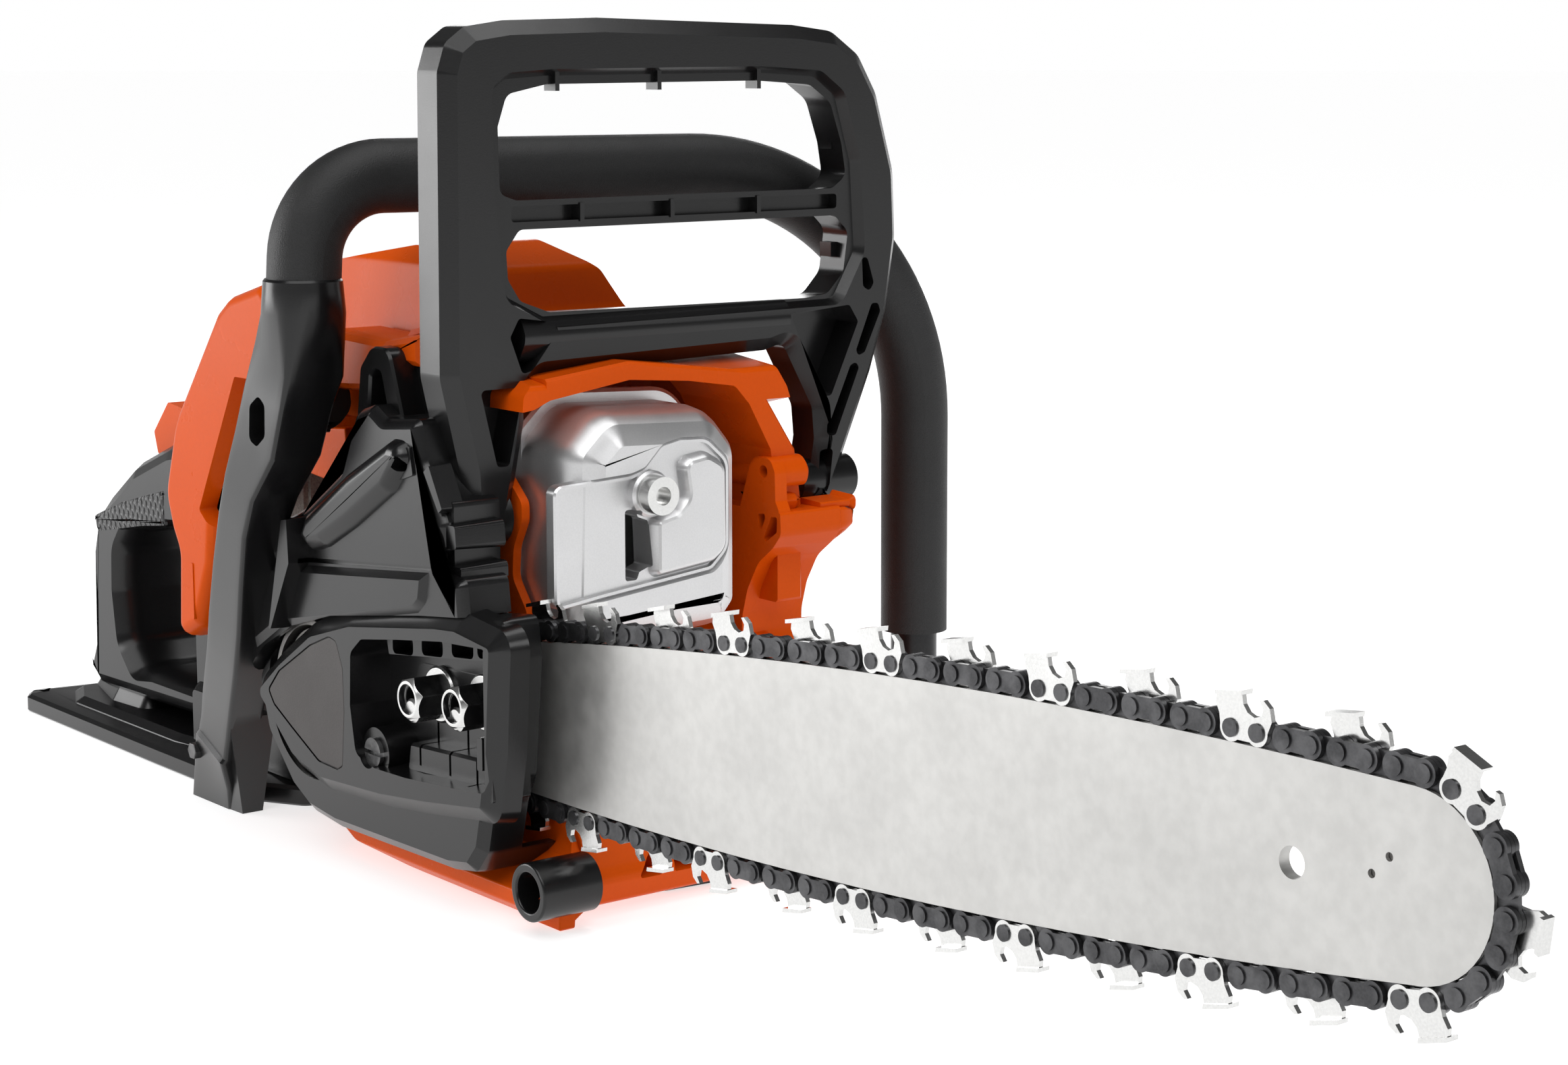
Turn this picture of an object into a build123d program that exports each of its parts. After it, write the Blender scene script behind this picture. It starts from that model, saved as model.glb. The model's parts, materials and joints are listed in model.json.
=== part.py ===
from build123d import *
import math
import os

# Petrol chainsaw with a 38 cm guide bar, in millimetres.
# +X runs forward to the bar's nose, +Y to the saw's left, +Z up, and the saw stands on Z = 0.
# Everything is drawn from the ground point below the drive sprocket's bar line, then moved so
# that the origin is the centre of the bottom of the whole saw's box.

# Bar and chain
PITCH = 8.255                 # rivet spacing of a .325 in chain
LINKS = 64                    # drive links
DRIVE_TEETH = 7
NOSE_TEETH = 10
BAR_TILT = 4.118              # the bar points up by this many degrees
AXIS_Z = 57.0                 # crankshaft height
AXIS_X = 2.2                  # crankshaft position
NOSE_DISTANCE = 457.1         # crankshaft to nose sprocket: the chain closes at this length
BELLY_RADIUS = 2380.0         # of the rails, seen from the side
RAIL_BELOW_RIVETS = 3.5
BAR_THICK = 3.6
CORE_THICK = 1.4
GROOVE_DEPTH = 7.0
BAR_TAIL_X = 34.0
SLOT_WIDTH = 8.3
LINK_THICK = 1.2
STRAP_THICK = 1.4
RIVET_R = 1.6
LOBE_R = 3.4
TENSION_PIN_X = 62.0
TENSION_PIN_Z = 14.7
HANG_HOLE_R = 4.0
HANG_HOLE_X = 421.6

# Clutch side
STUD_X = (69.6, 96.4)
STUD_RISE = 2.0               # studs above the bar's own axis
STUD_R = 4.0
NUT_FLATS = 13.0
COVER_OUT_Y = -28.0
COVER_IN_Y = 4.0
COVER_WALL = 3.0
DRUM_R = 26.0
ADJUSTER = (45.4, 45.6)       # tensioner screw, X and Z

# Engine
ENGINE_Y = 50.0               # mid-plane of the cylinder
STROKE = 28.0
BORE_R = 18.0
FLYWHEEL_R = 33.0
STARTER_Y = 128.0             # outer face of the starter cover
CYLINDER_X = 2.2
PISTON_TOP = 140.0            # at top dead centre
HEAD_Z = 152.0                # top of the cylinder's head
OIL_CAP = (80.0, 44.0)        # X and Z
FUEL_CAP = (-112.0, 40.0)
CATCHER = (126.0, 15.0)
MUFFLER_BOLT = (39.5, 133.5)  # Y and Z
GRIP_AT = (4.0, 124.0, 142.6)
RUN_GAP = 0.05                # radial clearance of a running shaft

# Handles
TUBE_R = 8.5
GRIP_R = 12.2
GUARD_PIVOT = (79.0, 126.0)   # X and Z of the guard's pivot pin
TRIGGER_PIVOT = (-158.0, 100.0)
LOCKOUT_PIVOT = (-182.0, 124.0)
SWITCH_PIVOT = (-165.0, 115.0)
HANDLE_Y = (14.0, 50.0)

BAR = Location((AXIS_X, 0, AXIS_Z), (0, -BAR_TILT, 0))
OUT = Plane.XZ                # its normal points to -Y
RISING = (Align.CENTER, Align.CENTER, Align.MIN)   # a cylinder drawn up from its own base


def shape(points, radius=0.0, grow=0.0):
    """A flat outline with rounded corners, drawn in or out by a constant amount."""
    outline = Polygon(*points, align=None)
    if radius:
        outline = fillet(outline.vertices(), radius)
    if grow:
        outline = offset(outline, grow)
    return outline


def along_y(outline, y0, y1):
    """A prism between two Y values; the outline's own axes are X and Z."""
    return extrude(OUT.offset(-y1) * outline, y1 - y0, dir=(0, -1, 0))


def along_x(outline, x0, x1):
    """A prism between two X values; the outline's own axes are Y and Z."""
    return extrude(Plane.YZ.offset(x0) * outline, x1 - x0, dir=(1, 0, 0))


def side(points, y0, y1, radius=0.0, grow=0.0):
    return along_y(shape(points, radius, grow), y0, y1)


def front(points, x0, x1, radius=0.0, grow=0.0):
    return along_x(shape(points, radius, grow), x0, x1)


def plan(points, z0, z1, radius=0.0):
    """A prism between two heights; the outline is in X and Y."""
    return extrude(Plane.XY.offset(z0) * shape(points, radius), z1 - z0, dir=(0, 0, 1))


def block(x0, x1, y0, y1, z0, z1, radius=0.0):
    solid = Pos((x0 + x1) / 2, (y0 + y1) / 2, (z0 + z1) / 2) * Box(x1 - x0, y1 - y0, z1 - z0)
    if radius:
        solid = fillet(solid.edges(), radius)
    return solid


def rod_y(x, z, radius, y0, y1):
    """A cylinder along Y."""
    return Pos(x, y1, z) * Rot(90, 0, 0) * Cylinder(radius, y1 - y0, align=RISING)


def rod_x(y, z, radius, x0, x1):
    """A cylinder along X."""
    return Pos(x0, y, z) * Rot(0, 90, 0) * Cylinder(radius, x1 - x0, align=RISING)


def rod_z(x, y, radius, z0, z1):
    return Pos(x, y, z0) * Cylinder(radius, z1 - z0, align=RISING)


def tube(points, radii, radius):
    """A round bar along straight runs joined by tangent arcs."""
    path = FilletPolyline(*points, radius=radii)
    start = Plane(origin=path @ 0, z_dir=path % 0)
    return sweep(start * Circle(radius), path=path)


def hex_nut(x, z, y_face, height):
    """A flanged nut on a stud along Y, seated at y_face and standing out to -Y."""
    flange = rod_y(x, z, 8.5, y_face - 2, y_face)
    flats = Pos(x, y_face - 2, z) * Rot(90, 0, 0) * extrude(
        RegularPolygon(NUT_FLATS / 2, 6, major_radius=False), height - 2)
    cone = Cone(NUT_FLATS * 0.62 + height, NUT_FLATS * 0.5, height, align=RISING)
    crown = Pos(x, y_face, z) * Rot(90, 0, 0) * cone
    return ((flange + flats) & crown) - rod_y(x, z, STUD_R, y_face - height - 1, y_face + 1)


# ---------------------------------------------------------------- bar and chain

DRIVE_R = PITCH / (2 * math.sin(math.pi / (2 * DRIVE_TEETH)))
NOSE_R = PITCH / (2 * math.sin(math.pi / (2 * NOSE_TEETH)))


def belly_centre():
    """Centre of the big arc that the top rail's rivets follow, tangent inside to both circles."""
    a = BELLY_RADIUS - DRIVE_R
    b = BELLY_RADIUS - NOSE_R
    x = (a * a - b * b + NOSE_DISTANCE ** 2) / (2 * NOSE_DISTANCE)
    return x, -math.sqrt(a * a - x * x)


def rivet_line():
    """Rivet centres and link directions all round the bar, in the bar's own frame."""
    cx, cz = belly_centre()
    nose_angle = math.atan2(-cz, NOSE_DISTANCE - cx)
    drive_angle = math.atan2(-cz, -cx)
    nose_len = NOSE_R * nose_angle
    belly_len = BELLY_RADIUS * (drive_angle - nose_angle)
    drive_len = DRIVE_R * (math.pi - drive_angle)
    half = nose_len + belly_len + drive_len
    step = half / LINKS

    def at(s):
        if s < nose_len:
            a = s / NOSE_R
            return NOSE_DISTANCE + NOSE_R * math.cos(a), NOSE_R * math.sin(a)
        s -= nose_len
        if s < belly_len:
            a = nose_angle + s / BELLY_RADIUS
            return cx + BELLY_RADIUS * math.cos(a), cz + BELLY_RADIUS * math.sin(a)
        a = drive_angle + (s - belly_len) / DRIVE_R
        return DRIVE_R * math.cos(a), DRIVE_R * math.sin(a)

    upper = [at((n + 0.5) * step) for n in range(LINKS)]
    lower = [(x, -z) for x, z in reversed(upper)]
    return upper + lower, step


RIVETS, STEP = rivet_line()


def link_places(first):
    """Locations of every second link, middle of its two rivets, +X along the chain's travel."""
    places = []
    for n in range(first, 2 * LINKS, 2):
        x1, z1 = RIVETS[n]
        x0, z0 = RIVETS[(n + 1) % (2 * LINKS)]
        angle = math.degrees(math.atan2(z1 - z0, x1 - x0))
        places.append(Location(((x0 + x1) / 2, 0, (z0 + z1) / 2), (0, -angle, 0)))
    return places


def strap(y0, y1):
    """Tie strap: two round ends with a waist."""
    half = PITCH / 2
    waist = side([(-half, -2.6), (half, -2.6), (half, 2.9), (-half, 2.9)], y0, y1)
    body = waist + rod_y(-half, 0, LOBE_R, y0, y1) + rod_y(half, 0, LOBE_R, y0, y1)
    return body - rod_y(-half, 0, RIVET_R, y0 - 1, y1 + 1) - rod_y(half, 0, RIVET_R, y0 - 1, y1 + 1)


def cutter(hand):
    """Chipper cutter: side plate, folded top plate behind and hooked depth gauge in front."""
    inner = LINK_THICK / 2 + 0.1
    outer = inner + STRAP_THICK
    y0, y1 = sorted((hand * inner, hand * outer))
    gauge = [(7.4, 0), (8.8, 3.2), (8.1, 6.4), (6.1, 8.1), (4.9, 7.9), (6.1, 6.0), (5.6, 4.2), (3.4, 3.5)]
    tooth = [(1.2, 4.4), (-0.2, 6.2), (-0.6, 8.6), (-8.6, 7.6), (-9.0, 5.6), (-7.8, 3.0), (-7.4, 0)]
    upper = side(gauge + tooth, y0, y1)
    t0, t1 = sorted((hand * (outer + 0.5), -hand * 1.4))
    top = side([(-0.3, 9.6), (-8.8, 8.5), (-8.9, 7.4), (-0.6, 8.3)], t0, t1)
    holes = rod_y(-PITCH / 2, 0, RIVET_R, -9, 9) + rod_y(PITCH / 2, 0, RIVET_R, -9, 9)
    return strap(y0, y1) + upper + top - holes


def drive_link():
    """Drive link: two eyes and the tang that runs in the bar's groove and drives the chain."""
    half = PITCH / 2
    y0, y1 = -LINK_THICK / 2, LINK_THICK / 2
    tang = [(-half, -3.0), (-3.6, -4.6), (-2.4, -7.4), (0.4, -9.0), (1.2, -7.0), (3.2, -4.6), (half, -3.0)]
    plate = side(tang + [(half, 3.2), (1.5, 2.4), (-1.5, 2.4), (-half, 3.2)], y0, y1)
    body = plate + rod_y(-half, 0, LOBE_R, y0, y1) + rod_y(half, 0, LOBE_R, y0, y1)
    return body - rod_y(-half, 0, RIVET_R, y0 - 1, y1 + 1) - rod_y(half, 0, RIVET_R, y0 - 1, y1 + 1)


def rivet():
    """Rivet with two low heads."""
    face = LINK_THICK / 2 + 0.1 + STRAP_THICK
    shank = rod_y(0, 0, RIVET_R - RUN_GAP, -face, face)
    heads = rod_y(0, 0, 2.3, -face - 0.5, -face) + rod_y(0, 0, 2.3, face, face + 0.5)
    return shank + heads


def placed(solid, places):
    return [BAR * place * solid for place in places]


def chain():
    """The whole saw chain as four groups of pieces."""
    inner = LINK_THICK / 2 + 0.1
    outer = inner + STRAP_THICK
    sides = link_places(0)
    near_cut = [p for n, p in enumerate(sides) if n % 4 == 1]
    far_cut = [p for n, p in enumerate(sides) if n % 4 == 3]
    near_tie = [p for n, p in enumerate(sides) if n % 4 != 1]
    far_tie = [p for n, p in enumerate(sides) if n % 4 != 3]
    rivets = [Location((x, 0, z)) for x, z in RIVETS]
    return {
        "chain_drive_links": placed(drive_link(), link_places(1)),
        "chain_cutters": placed(cutter(-1), near_cut) + placed(cutter(1), far_cut),
        "chain_tie_straps": placed(strap(-outer, -inner), near_tie) + placed(strap(inner, outer), far_tie),
        "chain_rivets": placed(rivet(), rivets),
    }


def bar_outline(inset):
    """Side view of the bar, drawn in from the rivet line by a constant amount."""
    cx, cz = belly_centre()
    angles = math.atan2(-cz, NOSE_DISTANCE - cx)
    tip_r = NOSE_R - inset
    rail_r = BELLY_RADIUS - inset
    top = (NOSE_DISTANCE + tip_r * math.cos(angles), tip_r * math.sin(angles))
    tail_angle = math.acos((BAR_TAIL_X + 6 - cx) / rail_r)
    tail = (BAR_TAIL_X + 6, cz + rail_r * math.sin(tail_angle))
    mid_angle = (angles + tail_angle) / 2
    belly = (cx + rail_r * math.cos(mid_angle), cz + rail_r * math.sin(mid_angle))

    def low(p):
        return p[0], -p[1]

    wire = Wire([
        ThreePointArc(tail, belly, top),
        ThreePointArc(top, (NOSE_DISTANCE + tip_r, 0), low(top)),
        ThreePointArc(low(top), low(belly), low(tail)),
        Line(low(tail), (BAR_TAIL_X, -12)),
        Line((BAR_TAIL_X, -12), (BAR_TAIL_X, 12)),
        Line((BAR_TAIL_X, 12), tail),
    ])
    return make_face(wire)


def bar_holes():
    """Stud slot, tensioner holes, oil holes, hang hole and the nose's grease holes."""
    front_end = 105.7
    rear_end = 53.0
    slot = side([(rear_end, STUD_RISE - SLOT_WIDTH / 2), (front_end, STUD_RISE - SLOT_WIDTH / 2),
                 (front_end, STUD_RISE + SLOT_WIDTH / 2), (rear_end, STUD_RISE + SLOT_WIDTH / 2)],
                -9, 9, SLOT_WIDTH / 2 - 0.2)
    pins = [rod_y(TENSION_PIN_X, s * TENSION_PIN_Z, 3.1, -9, 9) for s in (-1, 1)]
    small = [rod_y(NOSE_DISTANCE - 6.2, 5.6, 1.1, -9, 9), rod_y(NOSE_DISTANCE - 11.5, 1.0, 1.1, -9, 9)]
    return [slot, rod_y(HANG_HOLE_X, 0, HANG_HOLE_R, -9, 9)] + pins + small


def guide_bar():
    """Two side plates with the core sheet and the nose bearing between them; the groove stays open."""
    half = BAR_THICK / 2
    core = CORE_THICK / 2
    sheets = [along_y(bar_outline(RAIL_BELOW_RIVETS), -half, -core),
              along_y(bar_outline(RAIL_BELOW_RIVETS), core, half)]
    middle = along_y(bar_outline(RAIL_BELOW_RIVETS + GROOVE_DEPTH), -core, core)
    middle -= rod_y(NOSE_DISTANCE, 0, NOSE_R - 1, -9, 9)
    middle -= block(NOSE_DISTANCE - 8, NOSE_DISTANCE + 40, -9, 9, -40, 40)
    for hole in bar_holes():
        sheets = [s - hole for s in sheets]
        middle -= hole
    bearing = rod_y(NOSE_DISTANCE, 0, 6.0, -core, core)
    return {"bar_plates": [BAR * s for s in sheets], "bar_core": [BAR * middle, BAR * bearing]}


def toothed(teeth, pitch_r, y0, y1, bore, root):
    """Sprocket with round gaps for the drive links' tangs."""
    tip = pitch_r - 4.4
    wheel = rod_y(0, 0, tip, y0, y1)
    for k in range(teeth):
        a = math.radians(360 / teeth * k)
        low = [(root, -1.2), (root + 1.5, -3.6), (tip + 2, -5.2)]
        high = [(tip + 2, 5.2), (root + 1.5, 3.6), (root, 1.2)]
        gap = side(low + high, y0 - 1, y1 + 1)
        wheel -= Rot(0, -math.degrees(a), 0) * gap
    return wheel - rod_y(0, 0, bore, y0 - 1, y1 + 1)


def nose_sprocket():
    star = toothed(NOSE_TEETH, NOSE_R, -0.55, 0.55, 6.0 + RUN_GAP, 15.6)
    return BAR * Pos(NOSE_DISTANCE, 0, 0) * star


# ---------------------------------------------------------------- clutch side

def largest(part):
    """The main solid of a part, without slivers left by a cut."""
    return max(part.solids(), key=lambda solid: solid.volume)


def bar_point(x, rise=0.0):
    """X and Z in the saw's frame of a point on the bar's plane."""
    p = (BAR * Pos(x - AXIS_X, 0, rise)).position
    return p.X, p.Z


COVER_OUTLINE = [(-38, 60), (-30, 37), (-12, 21), (16, 16), (100, 15), (110, 22), (116, 50), (121, 88),
                 (119, 101), (77, 95), (23, 85), (-6, 77), (-26, 69)]
RECESS = [(41, 80), (108, 92), (119, 84), (114, 40), (93, 44), (65, 42), (40, 38)]
PANEL = [(-20, 58), (-10, 50), (6, 44), (26, 40), (36, 44), (36, 80), (20, 76), (0, 68)]
BRAKE_OUTLINE = [(-42, 88), (-35, 105), (-4, 122), (14, 150), (34, 166), (56, 168), (62, 112), (100, 110),
                 (100, 92), (76, 88), (22, 82), (-8, 75), (-28, 70)]
BRAKE_RIDGE = [(-20, 96), (0, 106), (22, 128), (38, 148), (44, 146), (36, 124), (16, 98), (-8, 88)]


def clutch_cover():
    """Outer shell over the clutch and the chain, open to the front, with the nut recess."""
    solid = side(COVER_OUTLINE, COVER_OUT_Y, COVER_IN_Y, 4)
    solid = chamfer(solid.faces().sort_by(Axis.Y)[0].edges(), 3.5)
    hollow = side(COVER_OUTLINE, -9, COVER_IN_Y + 1, 0, -COVER_WALL)
    hollow += block(98, 140, -9, COVER_IN_Y + 1, 24, 108)
    hollow += side([(6, 60), (6, 92), (50, 104), (98, 112), (140, 114), (140, 60)], -9, COVER_IN_Y + 1)
    pad = side([(54, 44), (106, 46), (106, 78), (54, 76)], -11, -BAR_THICK / 2 - 0.1, 5)
    drum_room = rod_y(AXIS_X, AXIS_Z, DRUM_R + 3, COVER_OUT_Y + COVER_WALL, COVER_IN_Y + 1)
    recess = side(RECESS, COVER_OUT_Y - 1, -13, 5)
    boss = rod_y(*ADJUSTER, 8.0, COVER_OUT_Y + 2, -11)
    cover = solid - (hollow - pad) - drum_room - recess + boss
    cover -= rod_y(*ADJUSTER, 5.0 + RUN_GAP, COVER_OUT_Y - 1, -8)
    for x in STUD_X:
        px, pz = bar_point(x, STUD_RISE)
        cover -= rod_y(px, pz, STUD_R + 0.3, COVER_OUT_Y, COVER_IN_Y)
    for x, z in [(52, 84), (70, 88), (88, 91)]:
        cover -= side([(x, z - 5), (x + 11, z - 3), (x + 11, z + 0.5), (x, z - 2)], -14, -8)
    ribs = [side([(x, 45), (x + 2, 45), (x + 2, 52), (x, 52)], -22, -12) for x in (62, 80, 98)]
    for rib in ribs:
        cover += rib
    pin_x, pin_z = bar_point(TENSION_PIN_X + AXIS_X, -TENSION_PIN_Z)
    cover -= block(pin_x - 10, pin_x + 18, -10, 0, pin_z - 4.0, pin_z + 4.0)
    cover -= panel_solid(0.4)
    return cover


def panel_solid(grow=0.0):
    return side(PANEL, COVER_OUT_Y - grow, COVER_OUT_Y + 1.2, 3, grow)


def brake_housing():
    """Ribbed upper shell above the cover that carries the brake lever."""
    solid = side(BRAKE_OUTLINE, -25, 1.5, 2)
    solid = chamfer(solid.faces().sort_by(Axis.Y)[0].edges(), 1.5)
    solid -= side(BRAKE_OUTLINE, -20, 4, 0, -2.6)
    ridge = side(BRAKE_RIDGE, -27.6, -24.9, 3)
    ridge = chamfer(ridge.faces().sort_by(Axis.Y)[0].edges(), 1.2)
    fin = side([(-27, 74), (-18, 76), (-14, 104), (-18, 106)], -27.6, -24.9, 1)
    hook = side([(22, 150), (34, 156), (36, 172), (28, 180), (24, 172)], -20, -8, 2)
    solid = solid + ridge + fin + hook
    solid -= side(COVER_OUTLINE, -40, 10, 4) + rod_y(AXIS_X, AXIS_Z, DRUM_R + 3, -24, 10)
    return solid - block(-50, 130, -8, 10, 60, 110)


def bar_studs():
    studs = []
    for x in STUD_X:
        px, pz = bar_point(x, STUD_RISE)
        stud = rod_y(px, pz, STUD_R, -25.5, 16)
        studs.append(chamfer(stud.faces().sort_by(Axis.Y)[0].edges(), 0.8))
    return studs


def bar_nuts():
    return [hex_nut(*bar_point(x, STUD_RISE), -13, 9.5) for x in STUD_X]


def clutch_parts():
    """Drum with its spur sprocket, and the shoes on their hub, all about the crank axis."""
    drum = rod_y(AXIS_X, AXIS_Z, DRUM_R, -23, -6.4) - rod_y(AXIS_X, AXIS_Z, DRUM_R - 1.8, -24, -8.2)
    spur = BAR * Rot(0, 180, 0) * toothed(DRIVE_TEETH, DRIVE_R, -6.4, 4.4, 5.0, 8.4)
    drum = drum + spur - rod_y(AXIS_X, AXIS_Z, 5.0 + RUN_GAP, -25, 9)
    hub = rod_y(AXIS_X, AXIS_Z, 11, -21.5, -10) - rod_y(AXIS_X, AXIS_Z, 5.0, -30, 0)
    shoes = []
    for k in range(3):
        shoe = rod_y(AXIS_X, AXIS_Z, DRUM_R - 3.2, -20.5, -10.5) - rod_y(AXIS_X, AXIS_Z, 12.0, -30, 0)
        wedge = side([(4, 0), (60, -48), (60, 48)], -30, 0)
        shoe &= Pos(AXIS_X, 0, AXIS_Z) * Rot(0, 120 * k, 0) * wedge
        shoes.append(shoe)
        spoke = Pos(AXIS_X, 0, AXIS_Z) * Rot(0, 120 * k, 0) * block(9, 13.5, -20, -11, -3.5, 3.5)
        hub += spoke
    shoes = [shoe - hub for shoe in shoes]
    return {"clutch_drum": [drum], "clutch_hub": [hub], "clutch_shoes": shoes}


def brake_band():
    """Steel band round the drum, standing just clear of it."""
    ring = rod_y(AXIS_X, AXIS_Z, DRUM_R + 1.5, -21, -9) - rod_y(AXIS_X, AXIS_Z, DRUM_R + 0.6, -30, 0)
    opening = Pos(AXIS_X, 0, AXIS_Z) * side([(0, 0), (60, 28), (60, 60), (20, 60)], -30, 0)
    return ring - opening


def tensioner():
    """Slotted adjuster across the cover, its bevel gear, and the long screw behind."""
    x, z = ADJUSTER
    head = rod_y(x, z, 5.0, -26, -12.2) - block(x - 6, x + 6, -27, -24.2, z - 0.7, z + 0.7)
    cone = Pos(x, -12.2, z) * Rot(-90, 0, 0) * Cone(5.0, 3.0, 2.4, align=RISING)
    screw = rod_x(-6.6, z - 3.4, 1.6, x + 5.6, x + 26)
    return head + cone, screw


def tension_pin():
    """Pin that the tensioner moves, reaching into the bar's lower hole."""
    x, z = bar_point(TENSION_PIN_X + AXIS_X, -TENSION_PIN_Z)
    return rod_y(x, z, 3.0, -5.0, BAR_THICK / 2)


def chain_catcher():
    """Short tube across the front of the tank, below the chain."""
    x, z = CATCHER
    ring = rod_y(x, z, 9.4, -19, 3) - rod_y(x, z, 6.4, -20, -4)
    return fillet(ring.faces().sort_by(Axis.Y)[0].edges(), 0.8)


# ---------------------------------------------------------------- engine

def engine_housing():
    """Crankcase with the oil tank in front of it and a skid plate below."""
    case_outline = [(-44, 24), (-30, 14), (52, 14), (60, 30), (60, 84), (48, 96), (-30, 96), (-44, 84)]
    case = side(case_outline, 5.4, 92, 4)
    tank = side([(50, 12), (104, 12), (116, 24), (112, 60), (96, 80), (50, 80)], 7, 110, 6)
    skid = side([(-8, 12), (10, 5), (92, 1.5), (122, 1.5), (122, 12), (60, 15), (0, 18)], -14, 60, 1.2)
    lug = block(116, 126, -14, 8, 0, 9, 1.5)
    wall = front([(5.4, 60), (8.2, 60), (8.2, 134), (5.4, 134)], 60, 84, 0.8)
    column_outline = [(58, 20), (98, 20), (100, 70), (92, 96), (96, 112), (92, 137), (62, 137), (56, 100)]
    column = side(column_outline, 101, 112, 3)
    shelf = side([(66, 108), (96, 108), (98, 116), (66, 118)], 101, 132, 2)
    bosses = rod_x(106, 131, 6, 70, 97) + rod_x(107, 118, 5, 70, 97)
    pad = side([(54, 46), (106, 50), (106, 76), (54, 72)], BAR_THICK / 2 + 0.1, 8, 4)
    house = case + tank + skid + lug + wall + column + shelf + bosses + pad
    chamber = rod_y(AXIS_X, AXIS_Z, 30, ENGINE_Y - 15, ENGINE_Y + 15)
    bore = rod_y(AXIS_X, AXIS_Z, 9.0, 0, 100)
    seats = rod_y(AXIS_X, AXIS_Z, 15, 26, 35) + rod_y(AXIS_X, AXIS_Z, 15, 65, 74)
    reel_room = rod_y(AXIS_X, AXIS_Z, FLYWHEEL_R + 3, 80, 100)
    throat = rod_z(CYLINDER_X, ENGINE_Y, 23, 70, 100)
    oil = side([(58, 18), (98, 18), (108, 28), (104, 58), (92, 74), (58, 74)], 14, 100, 5)
    pump_room = rod_y(AXIS_X, AXIS_Z, 17, 0, 14)
    house = house - chamber - bore - seats - reel_room - throat - oil - pump_room
    house -= block(-9, 130, -20, 5.2, 12, 48)
    for x in STUD_X:
        px, pz = bar_point(x, STUD_RISE)
        house -= rod_y(px, pz, STUD_R, -2, 16)
    house -= rod_y(*OIL_CAP, 13 + RUN_GAP, 96, 120)
    house -= rod_y(CATCHER[0], CATCHER[1], 9.4, -30, 3) + block(-60, 55, 92, 140, 0, 150)
    for pin in guard_pins():
        house -= pin
    return house


def crankshaft():
    """Two webs with counterweights, the crankpin, and the long main shafts."""
    shaft = rod_y(AXIS_X, AXIS_Z, 7.5 - RUN_GAP, 19, ENGINE_Y - 6)
    shaft += rod_y(AXIS_X, AXIS_Z, 7.5 - RUN_GAP, ENGINE_Y + 6, 84)
    shaft += rod_y(AXIS_X, AXIS_Z, 5.0, -24, 20)
    shaft += rod_y(AXIS_X, AXIS_Z, 5.0, 83, 110)
    web = side([(-10, 18), (10, 18), (26, -6), (22, -18), (0, -27), (-22, -18), (-26, -6)], 0, 7, 6)
    shaft += Pos(AXIS_X, ENGINE_Y - 13, AXIS_Z) * web
    shaft += Pos(AXIS_X, ENGINE_Y + 6, AXIS_Z) * web
    shaft += rod_y(AXIS_X, AXIS_Z + STROKE / 2, 5.0, ENGINE_Y - 7, ENGINE_Y + 7)
    return shaft


def bearings():
    rings = []
    for y in (26, 65):
        rings.append(rod_y(AXIS_X, AXIS_Z, 15, y, y + 9) - rod_y(AXIS_X, AXIS_Z, 7.5, y - 1, y + 10))
    return rings


def oil_pump():
    return rod_y(AXIS_X, AXIS_Z, 16.5, 6.2, 14) - rod_y(AXIS_X, AXIS_Z, 5.0 + 0.4, 0, 20)


def flywheel():
    disc = rod_y(AXIS_X, AXIS_Z, FLYWHEEL_R - 3, 86, 92) - rod_y(AXIS_X, AXIS_Z, 5.0, 80, 120)
    disc += rod_y(AXIS_X, AXIS_Z, 12, 84, 96) - rod_y(AXIS_X, AXIS_Z, 5.0, 80, 120)
    for k in range(16):
        fin = side([(14, -1), (FLYWHEEL_R, -5), (FLYWHEEL_R, -3), (14, 1)], 91.5, 101)
        disc += Pos(AXIS_X, 0, AXIS_Z) * Rot(0, 22.5 * k, 0) * fin
    return disc


def cylinder():
    """Finned cylinder standing on the crankcase, with ports front and back."""
    body = rod_z(CYLINDER_X, ENGINE_Y, BORE_R + 4.5, 90, 152)
    body += block(CYLINDER_X - 27, CYLINDER_X + 27, ENGINE_Y - 27, ENGINE_Y + 27, 96, 101, 0)
    for k in range(9):
        z = 107 + 5.4 * k
        body += block(CYLINDER_X - 29, CYLINDER_X + 29, ENGINE_Y - 31, ENGINE_Y + 31, z, z + 1.8)
    body += block(CYLINDER_X, 61.9, ENGINE_Y - 20, ENGINE_Y + 20, 106, 136)
    body += block(CYLINDER_X - 32, CYLINDER_X, ENGINE_Y - 16, ENGINE_Y + 16, 104, 126)
    body -= rod_z(CYLINDER_X, ENGINE_Y, BORE_R + RUN_GAP, 60, 146)
    body -= rod_x(ENGINE_Y, 119, 9, CYLINDER_X + 5, 70)
    body -= rod_x(*MUFFLER_BOLT, 3.0, 46, 70)
    body -= rod_x(ENGINE_Y, 115, 8, CYLINDER_X - 40, CYLINDER_X - 5)
    body -= rod_z(CYLINDER_X, ENGINE_Y, 5.0, 140, 160)
    return body


def piston():
    z = PISTON_TOP
    body = rod_z(CYLINDER_X, ENGINE_Y, BORE_R, z - 30, z)
    body -= rod_z(CYLINDER_X, ENGINE_Y, BORE_R - 2.5, z - 31, z - 5)
    body += rod_y(CYLINDER_X, z - 16, 6.5, ENGINE_Y - BORE_R + 1.5, ENGINE_Y - 6.5)
    body += rod_y(CYLINDER_X, z - 16, 6.5, ENGINE_Y + 6.5, ENGINE_Y + BORE_R - 1.5)
    return body - rod_y(CYLINDER_X, z - 16, 4.0, 0, 100)


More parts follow.
